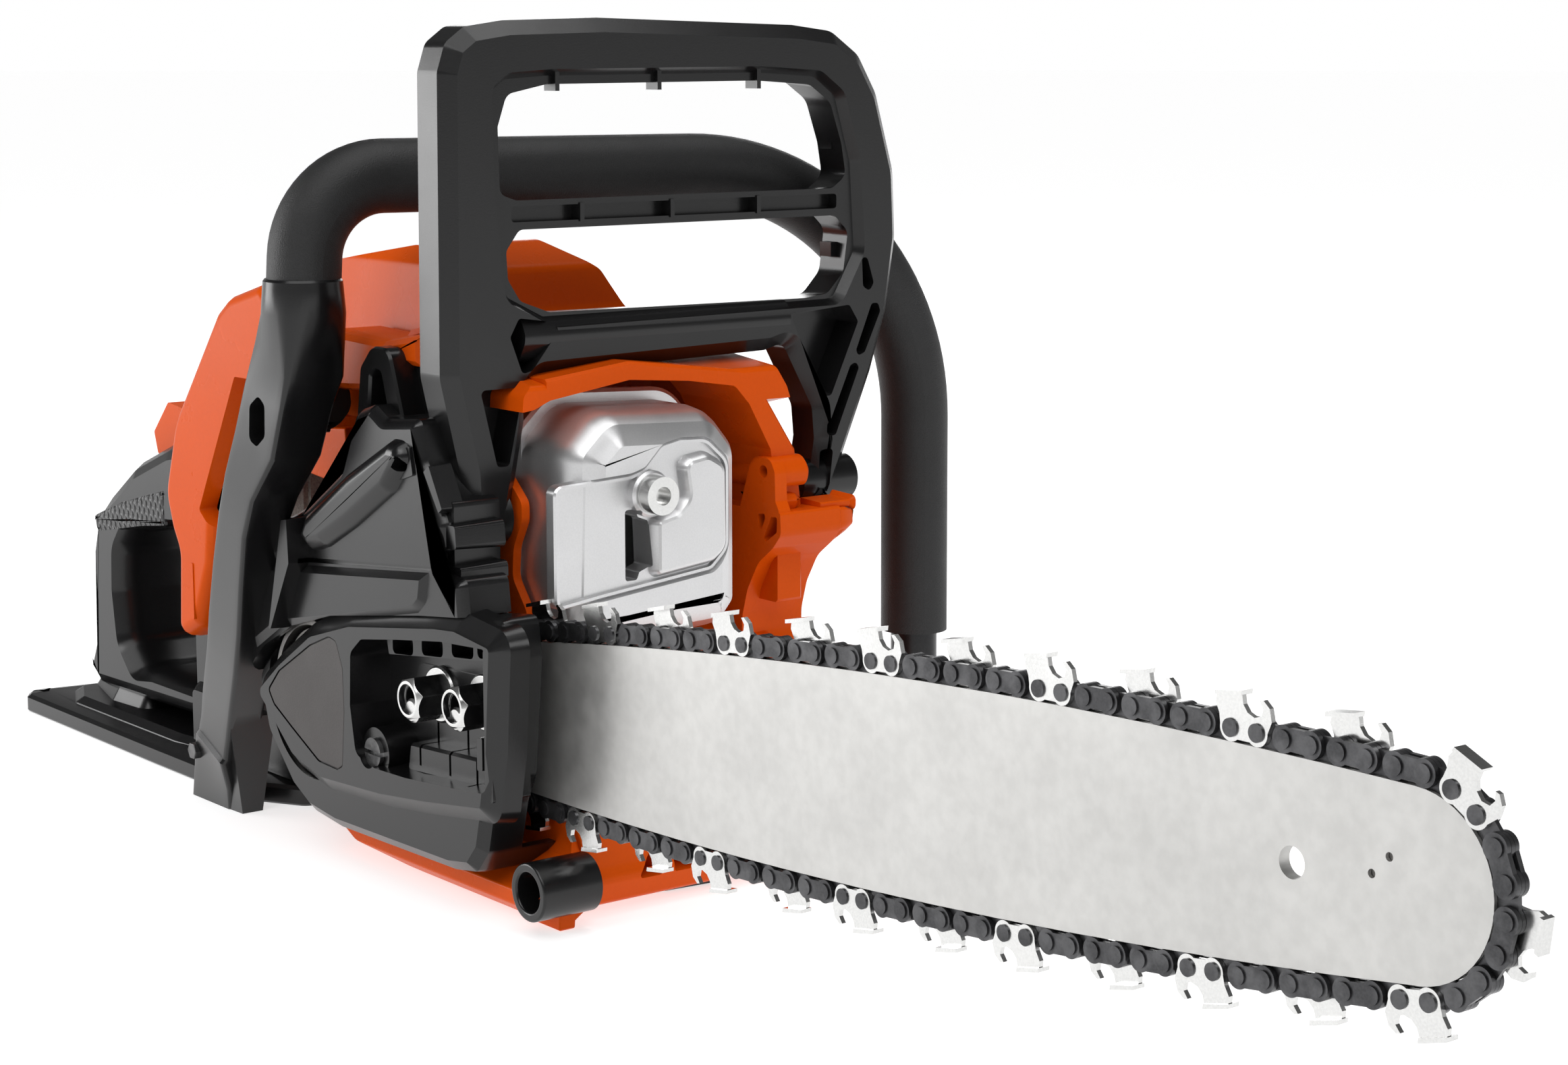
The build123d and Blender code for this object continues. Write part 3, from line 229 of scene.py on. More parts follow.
MAT = {
    "orange_plastic": finish_of("orange_moulding", (0.66, 0.080, 0.002), 0.28, speckle=0.03, grain=900,
                                bump=0.02, rough_spread=0.03, dark=0.96, specular=0.08),
    "black_plastic": finish_of("black_moulding", (0.0060, 0.0060, 0.0063), 0.25, speckle=0.12, grain=1700,
                               bump=0.03, rough_spread=0.02, dark=0.93, specular=0.45),
    "panel_plastic": finish_of("panel_inlay", (0.035, 0.029, 0.027), 0.55, speckle=0.25, grain=2200,
                               bump=0.12, rough_spread=0.04, dark=0.93),
    "rubber": finish_of("rubber_moulding", (0.012, 0.012, 0.012), 0.62, speckle=0.3, grain=1800, bump=0.2),
    "grip_rubber": finish_of("grip_rubber", (0.013, 0.013, 0.0135), 0.50, speckle=0.5, grain=2600, bump=0.5,
                             rough_spread=0.05, specular=0.45),
    "bar_steel": finish_of("bar_steel", (0.58, 0.575, 0.56), 0.46, metal=0.85, speckle=0.07, grain=260,
                           bump=0.03, blotch=40, dark=0.93, rough_spread=0.05),
    "cutter_steel": finish_of("cutter_steel", (0.74, 0.74, 0.73), 0.22, metal=1.0, speckle=0.08, grain=1500,
                              bump=0.03, dark=0.92),
    "dark_chain_steel": finish_of("dark_chain_steel", (0.070, 0.070, 0.073), 0.36, metal=0.9, speckle=0.2,
                                  grain=1500, bump=0.05, wear=0.3, dark=0.9),
    "bright_steel": finish_of("bright_steel", (0.74, 0.74, 0.73), 0.24, metal=1.0, speckle=0.06, grain=1600,
                              bump=0.03, dark=0.92),
    "forged_steel": finish_of("forged_steel", (0.30, 0.29, 0.28), 0.40, metal=1.0, speckle=0.2, grain=700,
                              bump=0.06),
    "black_steel": finish_of("black_steel", (0.02, 0.02, 0.021), 0.30, metal=0.6, speckle=0.2, grain=1200,
                             bump=0.04, wear=0.4, wear_colour=(0.3, 0.3, 0.3)),
    "muffler_steel": finish_of("muffler_steel", (0.70, 0.70, 0.705), 0.36, metal=0.9, speckle=0.05,
                               grain=1900, bump=0.03, blotch=18, dark=0.96, rough_spread=0.03),
    "cast_aluminium": finish_of("cast_aluminium", (0.52, 0.52, 0.52), 0.50, metal=0.9, speckle=0.25,
                                grain=700, bump=0.15),
    "machined_aluminium": finish_of("machined_aluminium", (0.62, 0.62, 0.62), 0.28, metal=1.0, speckle=0.12,
                                    grain=900, bump=0.05),
    "pale_plastic": finish_of("pale_moulding", (0.80, 0.80, 0.79), 0.45, speckle=0.05, grain=900, bump=0.02),
    "filter_mesh": finish_of("filter_mesh", (0.45, 0.44, 0.40), 0.8, speckle=0.4, grain=1500, bump=0.5),
    "rope": finish_of("starter_rope", (0.55, 0.53, 0.48), 0.85, speckle=0.4, grain=1200, bump=0.6),
}


def knurled():
    """The handle's grip strip: the black moulding with a fine zigzag weave."""
    made = MAT["black_plastic"].copy()
    made.name = "knurled_moulding"
    tree = made.node_tree
    bumps = [node for node in tree.nodes if node.bl_idname == "ShaderNodeBump"][0]
    places = tree.nodes.new("ShaderNodeTexCoord")
    turned = []
    for angle in (34.0, -34.0):
        mapping = tree.nodes.new("ShaderNodeMapping")
        mapping.inputs["Rotation"].default_value = (0.0, math.radians(angle), 0.0)
        waves = tree.nodes.new("ShaderNodeTexWave")
        waves.bands_direction = "X"
        waves.inputs["Scale"].default_value = 95.0
        tree.links.new(places.outputs["Object"], mapping.inputs["Vector"])
        tree.links.new(mapping.outputs["Vector"], waves.inputs["Vector"])
        turned.append(waves.outputs["Fac"])
    weave = mixed(tree, 1.0, turned[0], turned[1], "MULTIPLY")
    tree.links.new(weave, bumps.inputs["Height"])
    bumps.inputs["Strength"].default_value = 0.9
    bumps.inputs["Distance"].default_value = 0.0008
    return made


MAT["knurl"] = knurled()

# ---------------------------------------------------------------- solids in mesh code
AXES = {"x": (1, 2, 0), "y": (0, 2, 1), "z": (0, 1, 2)}


def rounded(points, radius=0.0, steps=5):
    """A closed outline with its corners rounded. A corner may carry its own radius as a third number."""
    corners = [Vector(p[:2]) for p in points]
    out = []
    for i, corner in enumerate(corners):
        own = points[i][2] if len(points[i]) > 2 else radius
        back, ahead = corners[i - 1] - corner, corners[(i + 1) % len(corners)] - corner
        angle = back.angle(ahead)
        if own <= 0.0 or angle > math.radians(172):
            out.append(corner)
            continue
        cut = min(own / math.tan(angle / 2), 0.47 * back.length, 0.47 * ahead.length)
        back.normalize()
        ahead.normalize()
        own = cut * math.tan(angle / 2)
        centre = corner + (back + ahead).normalized() * (own / math.sin(angle / 2))
        first, last = corner + back * cut - centre, corner + ahead * cut - centre
        turn = math.atan2(first.x * last.y - first.y * last.x, first.dot(last))
        for k in range(steps + 1):
            a = turn * k / steps
            out.append(centre + Vector((first.x * math.cos(a) - first.y * math.sin(a),
                                        first.x * math.sin(a) + first.y * math.cos(a))))
    return [p for i, p in enumerate(out) if (p - out[i - 1]).length > 0.02]


def inset(outline, distance):
    """The outline drawn in by a distance, or out where it is negative."""
    if distance == 0:
        return outline
    area = sum(outline[i - 1].x * p.y - p.x * outline[i - 1].y for i, p in enumerate(outline))
    side = 1.0 if area > 0 else -1.0
    out = []
    for i, p in enumerate(outline):
        before, after = p - outline[i - 1], outline[(i + 1) % len(outline)] - p
        first = Vector((-before.y, before.x)).normalized() * side
        second = Vector((-after.y, after.x)).normalized() * side
        out.append(p + (first + second) * distance / max(0.35, 1.0 + first.dot(second)))
    return out


def object_of(mesh, name):
    data = bpy.data.meshes.new(name)
    bmesh.ops.recalc_face_normals(mesh, faces=mesh.faces)
    mesh.to_mesh(data)
    mesh.free()
    obj = bpy.data.objects.new(name, data)
    bpy.context.scene.collection.objects.link(obj)
    return obj


def skin(rings, closed=False):
    """A solid through rings of points in the drawing frame, capped at both ends unless it is closed."""
    mesh = bmesh.new()
    made = [[mesh.verts.new(at(*p)) for p in ring] for ring in rings]
    pairs = list(zip(made, made[1:])) + ([(made[-1], made[0])] if closed else [])
    for low_ring, high_ring in pairs:
        for i in range(len(low_ring)):
            mesh.faces.new((low_ring[i - 1], low_ring[i], high_ring[i], high_ring[i - 1]))
    if not closed:
        mesh.faces.new(made[0])
        mesh.faces.new(made[-1])
    return object_of(mesh, "solid")


def prism(points, axis, levels, radius=0.0, steps=5):
    """An outline run along an axis. levels are (place, inset) pairs, so its edges may be drawn in."""
    u, v, w = AXES[axis]
    outline = rounded(points, radius, steps)
    rings = []
    for place, drawn_in in levels:
        ring = []
        for p in inset(outline, drawn_in):
            where = [0.0, 0.0, 0.0]
            where[u], where[v], where[w] = p.x, p.y, place
            ring.append(where)
        rings.append(ring)
    return skin(rings)


def slab(points, axis, a, b, radius=0.0, edge=0.0):
    """A plain prism from a to b, with its far edges (at b) drawn in by edge."""
    step = edge if b > a else -edge
    return prism(points, axis, [(a, 0.0), (b - step, 0.0), (b, edge)] if edge else [(a, 0.0), (b, 0.0)],
                 radius)


def brick(x0, x1, y0, y1, z0, z1, radius=0.0):
    return slab([(x0, z0), (x1, z0), (x1, z1), (x0, z1)], "y", y0, y1, radius)


def disc(u, v, radius, axis, a, b, steps=40, edge=0.0):
    ring = [(u + radius * math.cos(math.tau * k / steps), v + radius * math.sin(math.tau * k / steps))
            for k in range(steps)]
    return slab(ring, axis, a, b, 0.0, edge)


def settle(obj):
    """Applies an object's modifiers to its mesh."""
    graph = bpy.context.evaluated_depsgraph_get()
    data = bpy.data.meshes.new_from_object(obj.evaluated_get(graph))
    obj.modifiers.clear()
    obj.data = data
    return obj


def combined(base, others, operation):
    for other in others:
        made = base.modifiers.new("combine", "BOOLEAN")
        made.operation = operation
        made.object = other
        made.solver = "MANIFOLD"
    bpy.context.view_layer.update()
    settle(base)
    for other in others:
        bpy.data.objects.remove(other)
    return base


def cut(base, *others):
    return combined(base, others, "DIFFERENCE")


def fused(base, *others):
    return combined(base, others, "UNION")


def piece(obj, name, body, slot, stands_for=(), bevel=0.5, segments=3, limit=28, smooth=34, finish=None):
    """Names a finished solid, rounds its edges, gives it its finish and hangs it on its body."""
    obj.name = name
    obj.data.name = name
    for face in obj.data.polygons:
        face.use_smooth = True
    if bevel:
        made = obj.modifiers.new("edges", "BEVEL")
        made.width = bevel / 1000
        made.segments = segments
        made.limit_method = "ANGLE"
        made.angle_limit = math.radians(limit)
        made.harden_normals = False
        made.miter_outer = "MITER_ARC"
    obj.data.set_sharp_from_angle(angle=math.radians(smooth))
    weighted = obj.modifiers.new("shading", "WEIGHTED_NORMAL")
    weighted.keep_sharp = False
    weighted.weight = 60
    obj.data.materials.clear()
    obj.data.materials.append(finish or MAT[slot])
    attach(obj, body)
    if stands_for:
        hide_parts(*stands_for)
    return obj


# ---------------------------------------------------------------- CAD nodes that stay
EASED = ("starter_cover", "starter_grip", "oil_cap", "fuel_cap", "choke_knob", "throttle_trigger",
         "throttle_lockout", "stop_switch", "tension_adjuster", "chain_catcher", "cylinder", "carburettor")
slots_of = {part["node"]: part["material_slot"] for part in frame["record"]["subparts"]}

for name, obj in nodes.items():
    slot = slots_of.get(name)
    finish = MAT["bright_steel"] if name == "bar_studs" else MAT.get(slot) or MAT["black_plastic"]
    obj.data.materials.clear()
    obj.data.materials.append(finish)
    if name in EASED:
        edges = obj.modifiers.new("edges", "BEVEL")
        edges.width = 0.0005
        edges.segments = 2
        edges.limit_method = "ANGLE"
        edges.angle_limit = math.radians(35)

# ---------------------------------------------------------------- hand guard
def build_guard():
    """Front hand guard: a chamfered frame with two windows, ribbed channels round them and trussed legs."""
    back, face = 70.0, 88.0
    outer = [(-13, 119, 5), (2, 119, 5), (7, 141), (10, 156), (10, 166, 3), (15, 171, 4), (108, 173, 4),
             (116, 175, 4), (129, 152, 6), (130, 141), (126, 119, 3), (134, 116, 3), (141, 131), (155, 163),
             (162, 184, 8), (166, 209, 20), (165, 232, 20), (157, 259, 12), (149, 272, 9), (137, 280, 9),
             (120, 282, 20), (40, 284, 20), (4, 283, 6), (-10, 281, 5), (-17, 276, 5), (-20, 267, 5),
             (-21, 172, 12), (-14, 141)]
    frame_solid = prism(outer, "x", [(back, 2.0), (back + 2, 0), (face - 4.5, 0), (face, 4.6)])
    window_1 = [(2, 229, 3), (8, 227, 3), (137, 227, 4), (143, 231, 4), (141, 242, 8), (136, 256, 6),
                (127, 262, 6), (104, 263.5), (20, 263, 6), (5, 260, 4), (1.5, 250, 3)]
    window_2 = [(4, 211, 3), (9, 217.5, 3), (138, 217.5, 3), (144, 212, 4), (142, 198, 5), (135, 191, 5),
                (125, 190), (20, 191, 5), (9, 195, 4), (4.5, 202, 4)]
    rim = [(-2, 262, 4), (4, 266, 4), (20, 267), (104, 267.5), (129, 266, 7), (139, 259, 7), (146, 236, 8),
           (148, 205, 8), (138, 188, 6), (20, 187, 8), (2, 196, 5), (-1.5, 230)]
    cuts = [prism(rim, "x", [(face - 3.6, 1.2), (face + 2, -2.0)])]
    for window in (window_1, window_2):
        cuts.append(prism(window, "x", [(back - 5, -1.5), (face + 5, 0.5)]))
    cuts.append(slab([(6, 220), (139, 220), (139, 225), (6, 225)], "x", face - 8, face + 2, 1.2))
    pockets = [[(6, 190), (20, 188), (21, 185), (11, 173), (7, 172), (2.5, 184)],
               [(-9, 168), (7.5, 168), (6, 162), (1.5, 143), (-3, 143)],
               [(116, 185), (142, 187), (146, 181), (134, 156), (130, 156)],
               [(155, 187), (152, 187), (145, 171), (146, 169), (149, 170), (156, 184)],
               [(145, 167), (142.5, 166), (133, 146), (133, 142), (136, 142), (146.5, 165)],
               [(150, 203), (147.5, 203), (148, 193), (151, 191), (153, 194)],
               [(135, 138), (131, 137), (129.5, 124), (133, 122)]]
    for pocket in pockets:
        cuts.append(prism(pocket, "x", [(face - 11, 0.6), (face + 1, 0.0)], 1.6))
    frame_solid = cut(frame_solid, *cuts)
    ribs = []
    for y in (22, 62, 103):
        ribs.append(brick(face - 8, face - 1.6, y, y + 1.6, 261, 268))
    for y in (32, 68, 104):
        ribs.append(brick(face - 10, face - 3.0, y, y + 1.6, 219.5, 225.5))
    for z in (203, 240):
        ribs.append(brick(back + 3, back + 9, 141, 146.5, z, z + 5))
    bar = prism([(70, 176, 6), (70, 190, 6), (86, 190, 5), (89, 183, 5), (84, 175, 5)], "y",
                [(8, 0), (116, 0)])
    bosses = [disc(*PIVOT, 9.0, "y", -22, 3), disc(*PIVOT, 8.0, "y", 123, 147)]
    for part in ribs + [bar] + bosses:
        fused(frame_solid, part)
    cut(frame_solid, disc(*PIVOT, PIN_HOLE_R, "y", -40, 160))
    piece(frame_solid, "guard_frame", "guard", "black_plastic", ["hand_guard"], bevel=0.55)


# ---------------------------------------------------------------- clutch cover and brake housing
COVER = [(-38, 60, 10), (-31, 38, 12), (-14, 21, 8), (-2, 15, 8), (16, 13), (88, 14, 4), (101, 16, 4),
         (108, 24, 4), (112, 40, 6), (117, 50, 4), (121, 88, 4), (119, 101, 3), (77, 96), (23, 88),
         (-6, 80, 8), (-26, 70, 8)]
FACE = [(-29, 54, 3), (-17, 45, 6), (-5, 35.5, 8), (14, 31, 12), (53, 33), (81, 36), (114, 40.5, 2),
        (118, 60), (120.5, 93, 2), (100, 95.5, 3), (88, 94.5, 3), (35, 87, 8), (9, 79.5, 12), (-13, 66, 6)]
NUT_BAY = [(35, 60, 3), (36, 78, 4), (43, 83.5, 4), (66, 87), (92, 90.5), (117, 92, 1.5), (118, 89),
           (117, 50), (115, 46, 2), (107, 45), (69, 42), (50, 41.5, 4), (38, 44, 4)]
INLAY = [(-21, 56, 2), (-13, 64, 6), (9, 76.5, 8), (22, 81.5, 5), (27, 80.5, 3), (31, 72), (31.5, 57),
         (29.5, 38, 2), (26, 36, 3), (13, 36.5, 6), (-5, 45, 6), (-17, 51, 4)]


def build_clutch_cover():
    """Outer cover: a dark shell with a raised, chamfered face, an inlay and the bay for the bar nuts."""
    shell = prism(COVER, "y", [(-24, 4.0), (-21, 0.6), (-18, 0), (4, 0)])
    face = prism(FACE, "y", [(-28, 0.6), (-27.4, 0), (-23.5, -5.0), (-17, -6.0)])
    shell = fused(shell, face)
    room = prism([(p[0], p[1]) for p in COVER], "y", [(-9, 3.2), (6, 3.2)])
    above = prism([(6, 60), (6, 92), (50, 104), (98, 112), (140, 114), (140, 24), (99, 24), (99, 60)], "y",
                  [(-9, 0), (6, 0)])
    drum = disc(*CRANK, 29, "y", -24, 6, 64)
    bay = prism(NUT_BAY, "y", [(-30, -1.0), (-28, 0), (-13, 0.8)])
    shell = cut(shell, room, above, drum, bay)
    shell = cut(shell, prism(INLAY, "y", [(-30, 0.2), (-27.2, 0.2)]))
    mount = prism([(54, 44), (106, 46), (106, 78), (54, 76)], "y", [(-13.5, 0), (-2.2, 0)], 5)
    extras = [mount, disc(*ADJUSTER, 8.2, "y", -24.5, -11)]
    extras.append(prism([(58, 41), (114, 44), (114, 54), (60, 51)], "y", [(-20.5, 1.0), (-19.5, 0), (-12, 0)],
                        1.5))
    extras.append(prism([(104, 50), (108, 50.5), (108, 62), (104, 61.5)], "y", [(-23, 0.5), (-12, 0)], 1.0))
    extras.append(prism([(50, 78), (116, 86), (117, 93), (48, 86)], "y", [(-22, 1.0), (-12, 0)], 1.5))
    extras.append(brick(113.5, 118, -26, -12, 43, 91, 1.0))
    for extra in extras:
        shell = fused(shell, extra)
    holes = [disc(*ADJUSTER, 5.05, "y", -30, -6)]
    for x, z in NUTS:
        holes.append(disc(x, z, 4.3, "y", -30, 6))
    for x in (53, 71, 89, 104):
        w = 13 if x < 100 else 9
        rise = (x - 53) * 0.13
        holes.append(prism([(x, 79.5 + rise), (x + w, 80.8 + rise), (x + w, 87 + rise), (x, 85.5 + rise)],
                           "y", [(-24, 0), (-15.5, 0.6)], 2.0))
    for x in (66, 84, 100):
        holes.append(prism([(x, 44.5), (x + 1.2, 44.5), (x + 1.2, 60), (x, 60)], "y", [(-24, 0), (-12.2, 0)]))
    shell = cut(shell, *holes)
    piece(shell, "cover_shell", "powerhead", "black_plastic", ["clutch_cover"], bevel=0.6)
    inlay = prism(INLAY, "y", [(-27.9, 0.9), (-27.6, 0.5), (-26.6, 0.4)])
    piece(inlay, "cover_inlay", "powerhead", "panel_plastic", ["cover_panel"], bevel=0.0)


def build_nuts():
    """The two bar nuts: a bright flange, and a dark hexagon with a bright face recessed round its stud."""
    for index, (x, z) in enumerate(NUTS):
        flange = disc(x, z, 9.4, "y", -13.2, -15.2, 48, 0.7)
        flange = cut(flange, disc(x, z, 4.3, "y", -30, 0))
        piece(flange, f"nut_flange_{index + 1}", "powerhead", "bright_steel", bevel=0.2)
        corners = [(x + 7.5 * math.cos(math.tau * k / 6 + 0.26), z + 7.5 * math.sin(math.tau * k / 6 + 0.26))
                   for k in range(6)]
        hexagon = slab(corners, "y", -14.6, -26.9, 0.5)
        cap = skin([[(x + radius * math.cos(math.tau * k / 72), y, z + radius * math.sin(math.tau * k / 72))
                     for k in range(72)] for y, radius in ((-14.0, 7.6), (-25.1, 7.6), (-26.9, 5.9))])
        hexagon = combined(hexagon, [cap], "INTERSECT")
        hexagon = cut(hexagon, disc(x, z, 4.3, "y", -40, 0), disc(x, z, 5.0, "y", -28, -24.6))
        nut = piece(hexagon, f"bar_nut_{index + 1}", "powerhead", "black_steel",
                    ["bar_nuts"] if index == 0 else (), bevel=0.15)
        nut.data.materials.append(MAT["bright_steel"])
        for face in nut.data.polygons:
            face.material_index = 1 if face.normal.y < -0.5 else 0


BRAKE = [(-41, 62), (-44, 88, 6), (-36, 104, 8), (-8, 117, 10), (6, 124), (28, 138, 8), (38, 158, 6),
         (48, 161, 3), (56, 157, 4), (76, 159, 3), (79, 146, 8), (91, 127, 4), (91, 119, 3), (85, 112, 3),
         (101, 111, 3), (103, 95), (90, 92), (36, 84), (9, 76), (-14, 63), (-30, 56)]


def build_brake_housing():
    """Upper shell over the clutch: two faired panels, a long rising ridge, a fin and a hook."""
    shell = prism(BRAKE, "y", [(-26, 3.2), (-24.8, 1.2), (-23, 0), (-8, 0)], 2)
    lower = prism([(-13, 79), (-36, 66), (-40, 86, 6), (-30, 99, 8), (3, 102.5), (83, 111), (81, 101, 3),
                   (76, 97)],
                  "y", [(-28, 2.4), (-26, 0), (-20, 0)])
    ridge = prism([(4, 113), (9, 121, 6), (38, 139, 20), (64, 152, 6), (71, 152, 5), (75, 146, 6),
                   (64, 134, 10), (40, 120, 20), (22, 111, 8), (12, 108, 4)], "y",
                   [(-30.5, 5.2), (-30, 3.6), (-28.6, 1.6), (-25.5, 0),
                                                                     (-20, 0)])
    tail = prism([(-40, 92), (-34, 104, 8), (-8, 117, 10), (6, 122, 4), (4, 106, 4), (-16, 101)], "y",
                 [(-28.4, 3.0), (-27.4, 1.2), (-25, 0), (-20, 0)])
    fin = prism([(-10, 79, 1), (-7, 79, 1), (7, 104), (6, 120, 1), (1, 119, 1)], "y",
                [(-33.5, 0.9), (-20, 0)])
    hook = prism([(27, 152), (30, 171, 4), (37, 178, 5), (47, 178, 5), (56, 153), (49, 152), (43, 171, 2),
                  (38, 172, 2), (35, 169, 2), (33, 152)], "y", [(-18, 0), (-17, -0.6), (-7, -0.6), (-6, 0)])
    web = prism([(26, 150), (40, 176, 3), (52, 176, 3), (60, 150)], "y", [(-9, 0), (-4, 0)])
    for part in (lower, tail, ridge, fin, hook, web):
        shell = fused(shell, part)
    front_bits = [prism([(60, 112), (63, 131), (74, 137, 2), (92, 134, 2), (92, 112)], "y",
                        [(-22, 0), (-5, 0)], 1.0),
                  prism([(78, 118), (78, 127, 2), (96, 128, 2), (97, 119, 2)], "y", [(-24, 0.8), (-6, 0)]),
                  prism([(80, 106), (80, 114, 2), (98, 115, 2), (98, 107, 2)], "y", [(-23, 0.8), (-6, 0)]),
                  prism([(66, 138), (64, 147, 1), (74, 151, 1), (76, 141, 1)], "y", [(-26.8, 0.4), (-20, 0)]),
                  prism([(80, 143), (84, 146, 1), (92, 132, 1), (89, 130)], "y", [(-26.0, 0.6), (-18, 0)])]
    for part in front_bits:
        shell = fused(shell, part)
    cuts = [prism(COVER, "y", [(-40, -0.3), (-22, -0.3), (6, -0.3)]),
            disc(*CRANK, 29, "y", -24, 10, 64),
            disc(70.0, 144.5, 2.6, "y", -30, -18, 24),
            brick(-50, 130, -8, 12, 60, 110),
            prism([(0, 103.2), (84, 111.6), (84, 113.0), (0, 104.8)], "y", [(-30, 0), (-24, 0)])]
    cuts.append(prism([(-6, 118), (26, 137), (38, 157), (48, 159), (76, 157), (76, 146), (60, 116), (0, 112)],
                      "y", [(-20, 3.5), (0, 3.5)]))
    shell = cut(shell, *cuts)
    piece(shell, "brake_shell", "powerhead", "black_plastic", ["brake_housing"], bevel=0.6)


# ---------------------------------------------------------------- front handle's strut
STRUT = [(0, 0, -104, -74, -16, -6.6), (13, 8, -98, -71, -18, -6.6), (28, 19, -87, -67, -22.6, -7),
         (29.5, 20.5, -86.6, -66.4, -21.6, -7), (36, 28, -82, -62, -22.8, -9), (47, 40, -74, -53, -26, -12),
         (66, 58, -59, -38, -31.5, -16), (80, 74, -50, -28, -35, -22), (100, 92, -39, -19, -38.4, -25),
         (119, 111, -28, -10, -41.4, -25), (133, 125, -19, 0, -43.4, -25), (148, 141, -10, 16, -44, -25),
         (165, 158, -2, 23, -44, -24), (179, 168, 5.5, 27, -44, -22)]


def build_strut():
    """The leaning upright under the front handle: a faceted column that turns into a round socket."""
    rings = []
    for left, right, x0, x1, y0, y1 in STRUT:
        corners = rounded([(x0, y0), (x1, y0), (x1, y1), (x0, y1)], 1.6, 4)
        ring = []
        for i in range(0, len(corners), 5):
            ahead = corners[(i + 5) % len(corners)]
            ring += corners[i:i + 5] + [corners[i + 4].lerp(ahead, k / 8) for k in range(1, 8)]
        rings.append([(p.x, p.y, left + (right - left) * (p.x - x0) / (x1 - x0)) for p in ring])
    for z, radius in ((189, 13.8), (197, 13.2), (199.6, 13.0), (200.4, 12.4)):
        turns = [math.tau * (0.625 + (k - 2) / 48) for k in range(48)]
        rings.append([(HANDLE_END[0] + radius * math.cos(turn), HANDLE_END[1] + radius * math.sin(turn), z)
                      for turn in turns])
    column = skin(rings)
    hole = prism([(0.5, 146, 3), (1.5, 158, 3), (8, 162, 3), (12.5, 159, 3), (12, 148, 3), (6, 144, 3)], "y",
                 [(-50, -0.6), (-43.6, 0.4), (-37, 0.8)])
    bore = disc(19.5, -32.5, 11.0, "z", 186, 210, 32)
    column = cut(column, hole, bore)
    flare = skin([[(-75, -15.6, z), (-66 + z * 0.25, -15.2 - z * 0.24, z), (-66 + z * 0.3, -7, z),
                   (-75, -7, z)]
                  for z in (0, 12, 24, 38)])
    column = fused(column, flare)
    foot = prism([(-104, 0, 1), (-104, 4, 1), (-84, 5, 2), (-74, 5, 2), (-74, 0, 1)], "y",
                 [(-14, 0), (-6.4, 0)])
    column = fused(column, foot)
    piece(column, "strut_column", "powerhead", "black_plastic", ["handle_strut"], bevel=0.7, limit=22)
    nut = disc(-90, 20, 3.2, "y", -22.6, -18.5, 6)
    piece(nut, "strut_base_bolt", "powerhead", "black_steel", bevel=0.3)


# ---------------------------------------------------------------- muffler
def build_muffler():
    """Pressed muffler: soft corners, a dished panel with a lip, a raised pad, the outlet and a boss."""
    outline = [(9, 90, 8), (15, 83, 6), (72, 85, 8), (79, 93, 8), (79, 146, 12), (68, 159, 12), (24, 161, 14),
               (11, 149, 10)]
    body = prism(outline, "x", [(64, 3), (66, 1), (69, 0), (96, 0), (102, 0.8), (106, 2.2), (109, 4.4),
                                (111, 7.4), (112.4, 11)], 0, 8)
    flange = prism(outline, "x", [(76, -3.4), (76.6, -4.2), (80.0, -4.2), (80.8, -3.0)], 0, 8)
    flange = cut(flange, brick(70, 90, 0, 10.8, 134, 172))
    body = fused(body, flange)
    panel = [(2, 139.5, 4), (32, 141, 8), (37, 142.5, 5), (44, 149.5, 6), (52, 151, 5), (63, 150.5, 8),
             (72.5, 142, 8), (72.5, 112, 8), (65, 105, 6), (20, 100.3, 5), (2, 98, 4)]
    dish = prism(panel, "x", [(109.6, 1.6), (110.6, 0.6), (112.4, 0.2), (118, 0.2)], 0, 7)
    lip = prism(panel, "x", [(107, 0.6), (110.6, 0.8), (111.4, 1.3)], 0, 7)
    groove = prism(panel, "x", [(109.2, 2.5), (113, 2.1)], 0, 7)
    body = cut(body, dish)
    body = fused(body, cut(lip, groove))
    pad = prism([(52, 143, 3.5), (62, 144.5, 5), (69, 140.5, 5), (69.5, 113, 6), (64, 109, 5), (41, 106.5, 2),
                 (41, 124.5, 2), (49.5, 126.4, 4), (54, 131, 5)], "x",
                [(107, -1.2), (110.2, -0.9), (112.2, -0.1), (113.2, 0.7), (113.6, 1.6)], 0, 6)
    boss = disc(39.5, 133.5, 7.6, "x", 104, 113.3, 40, 0.8)
    for part in (pad, boss):
        body = fused(body, part)
    slot_cut = prism([(31, 128.5, 1), (35, 128.8, 1), (36, 126, 1), (40, 124.5, 1), (40.6, 109.5, 1),
                      (36.5, 108, 1), (35.5, 105.5, 1), (31, 105.5, 1)], "x", [(98, 0), (121, 0)], 0, 3)
    body = cut(body, slot_cut, disc(39.5, 133.5, 3.1, "x", 55, 125))
    dark_room = prism([(20, 98), (60, 98), (60, 136), (20, 136)], "x", [(92, 0), (101, 0)])
    body = cut(body, dark_room)
    piece(body, "muffler_shell", "powerhead", "muffler_steel", ["muffler_front_shell", "muffler_back_shell"],
          bevel=0.7, segments=3, limit=20)


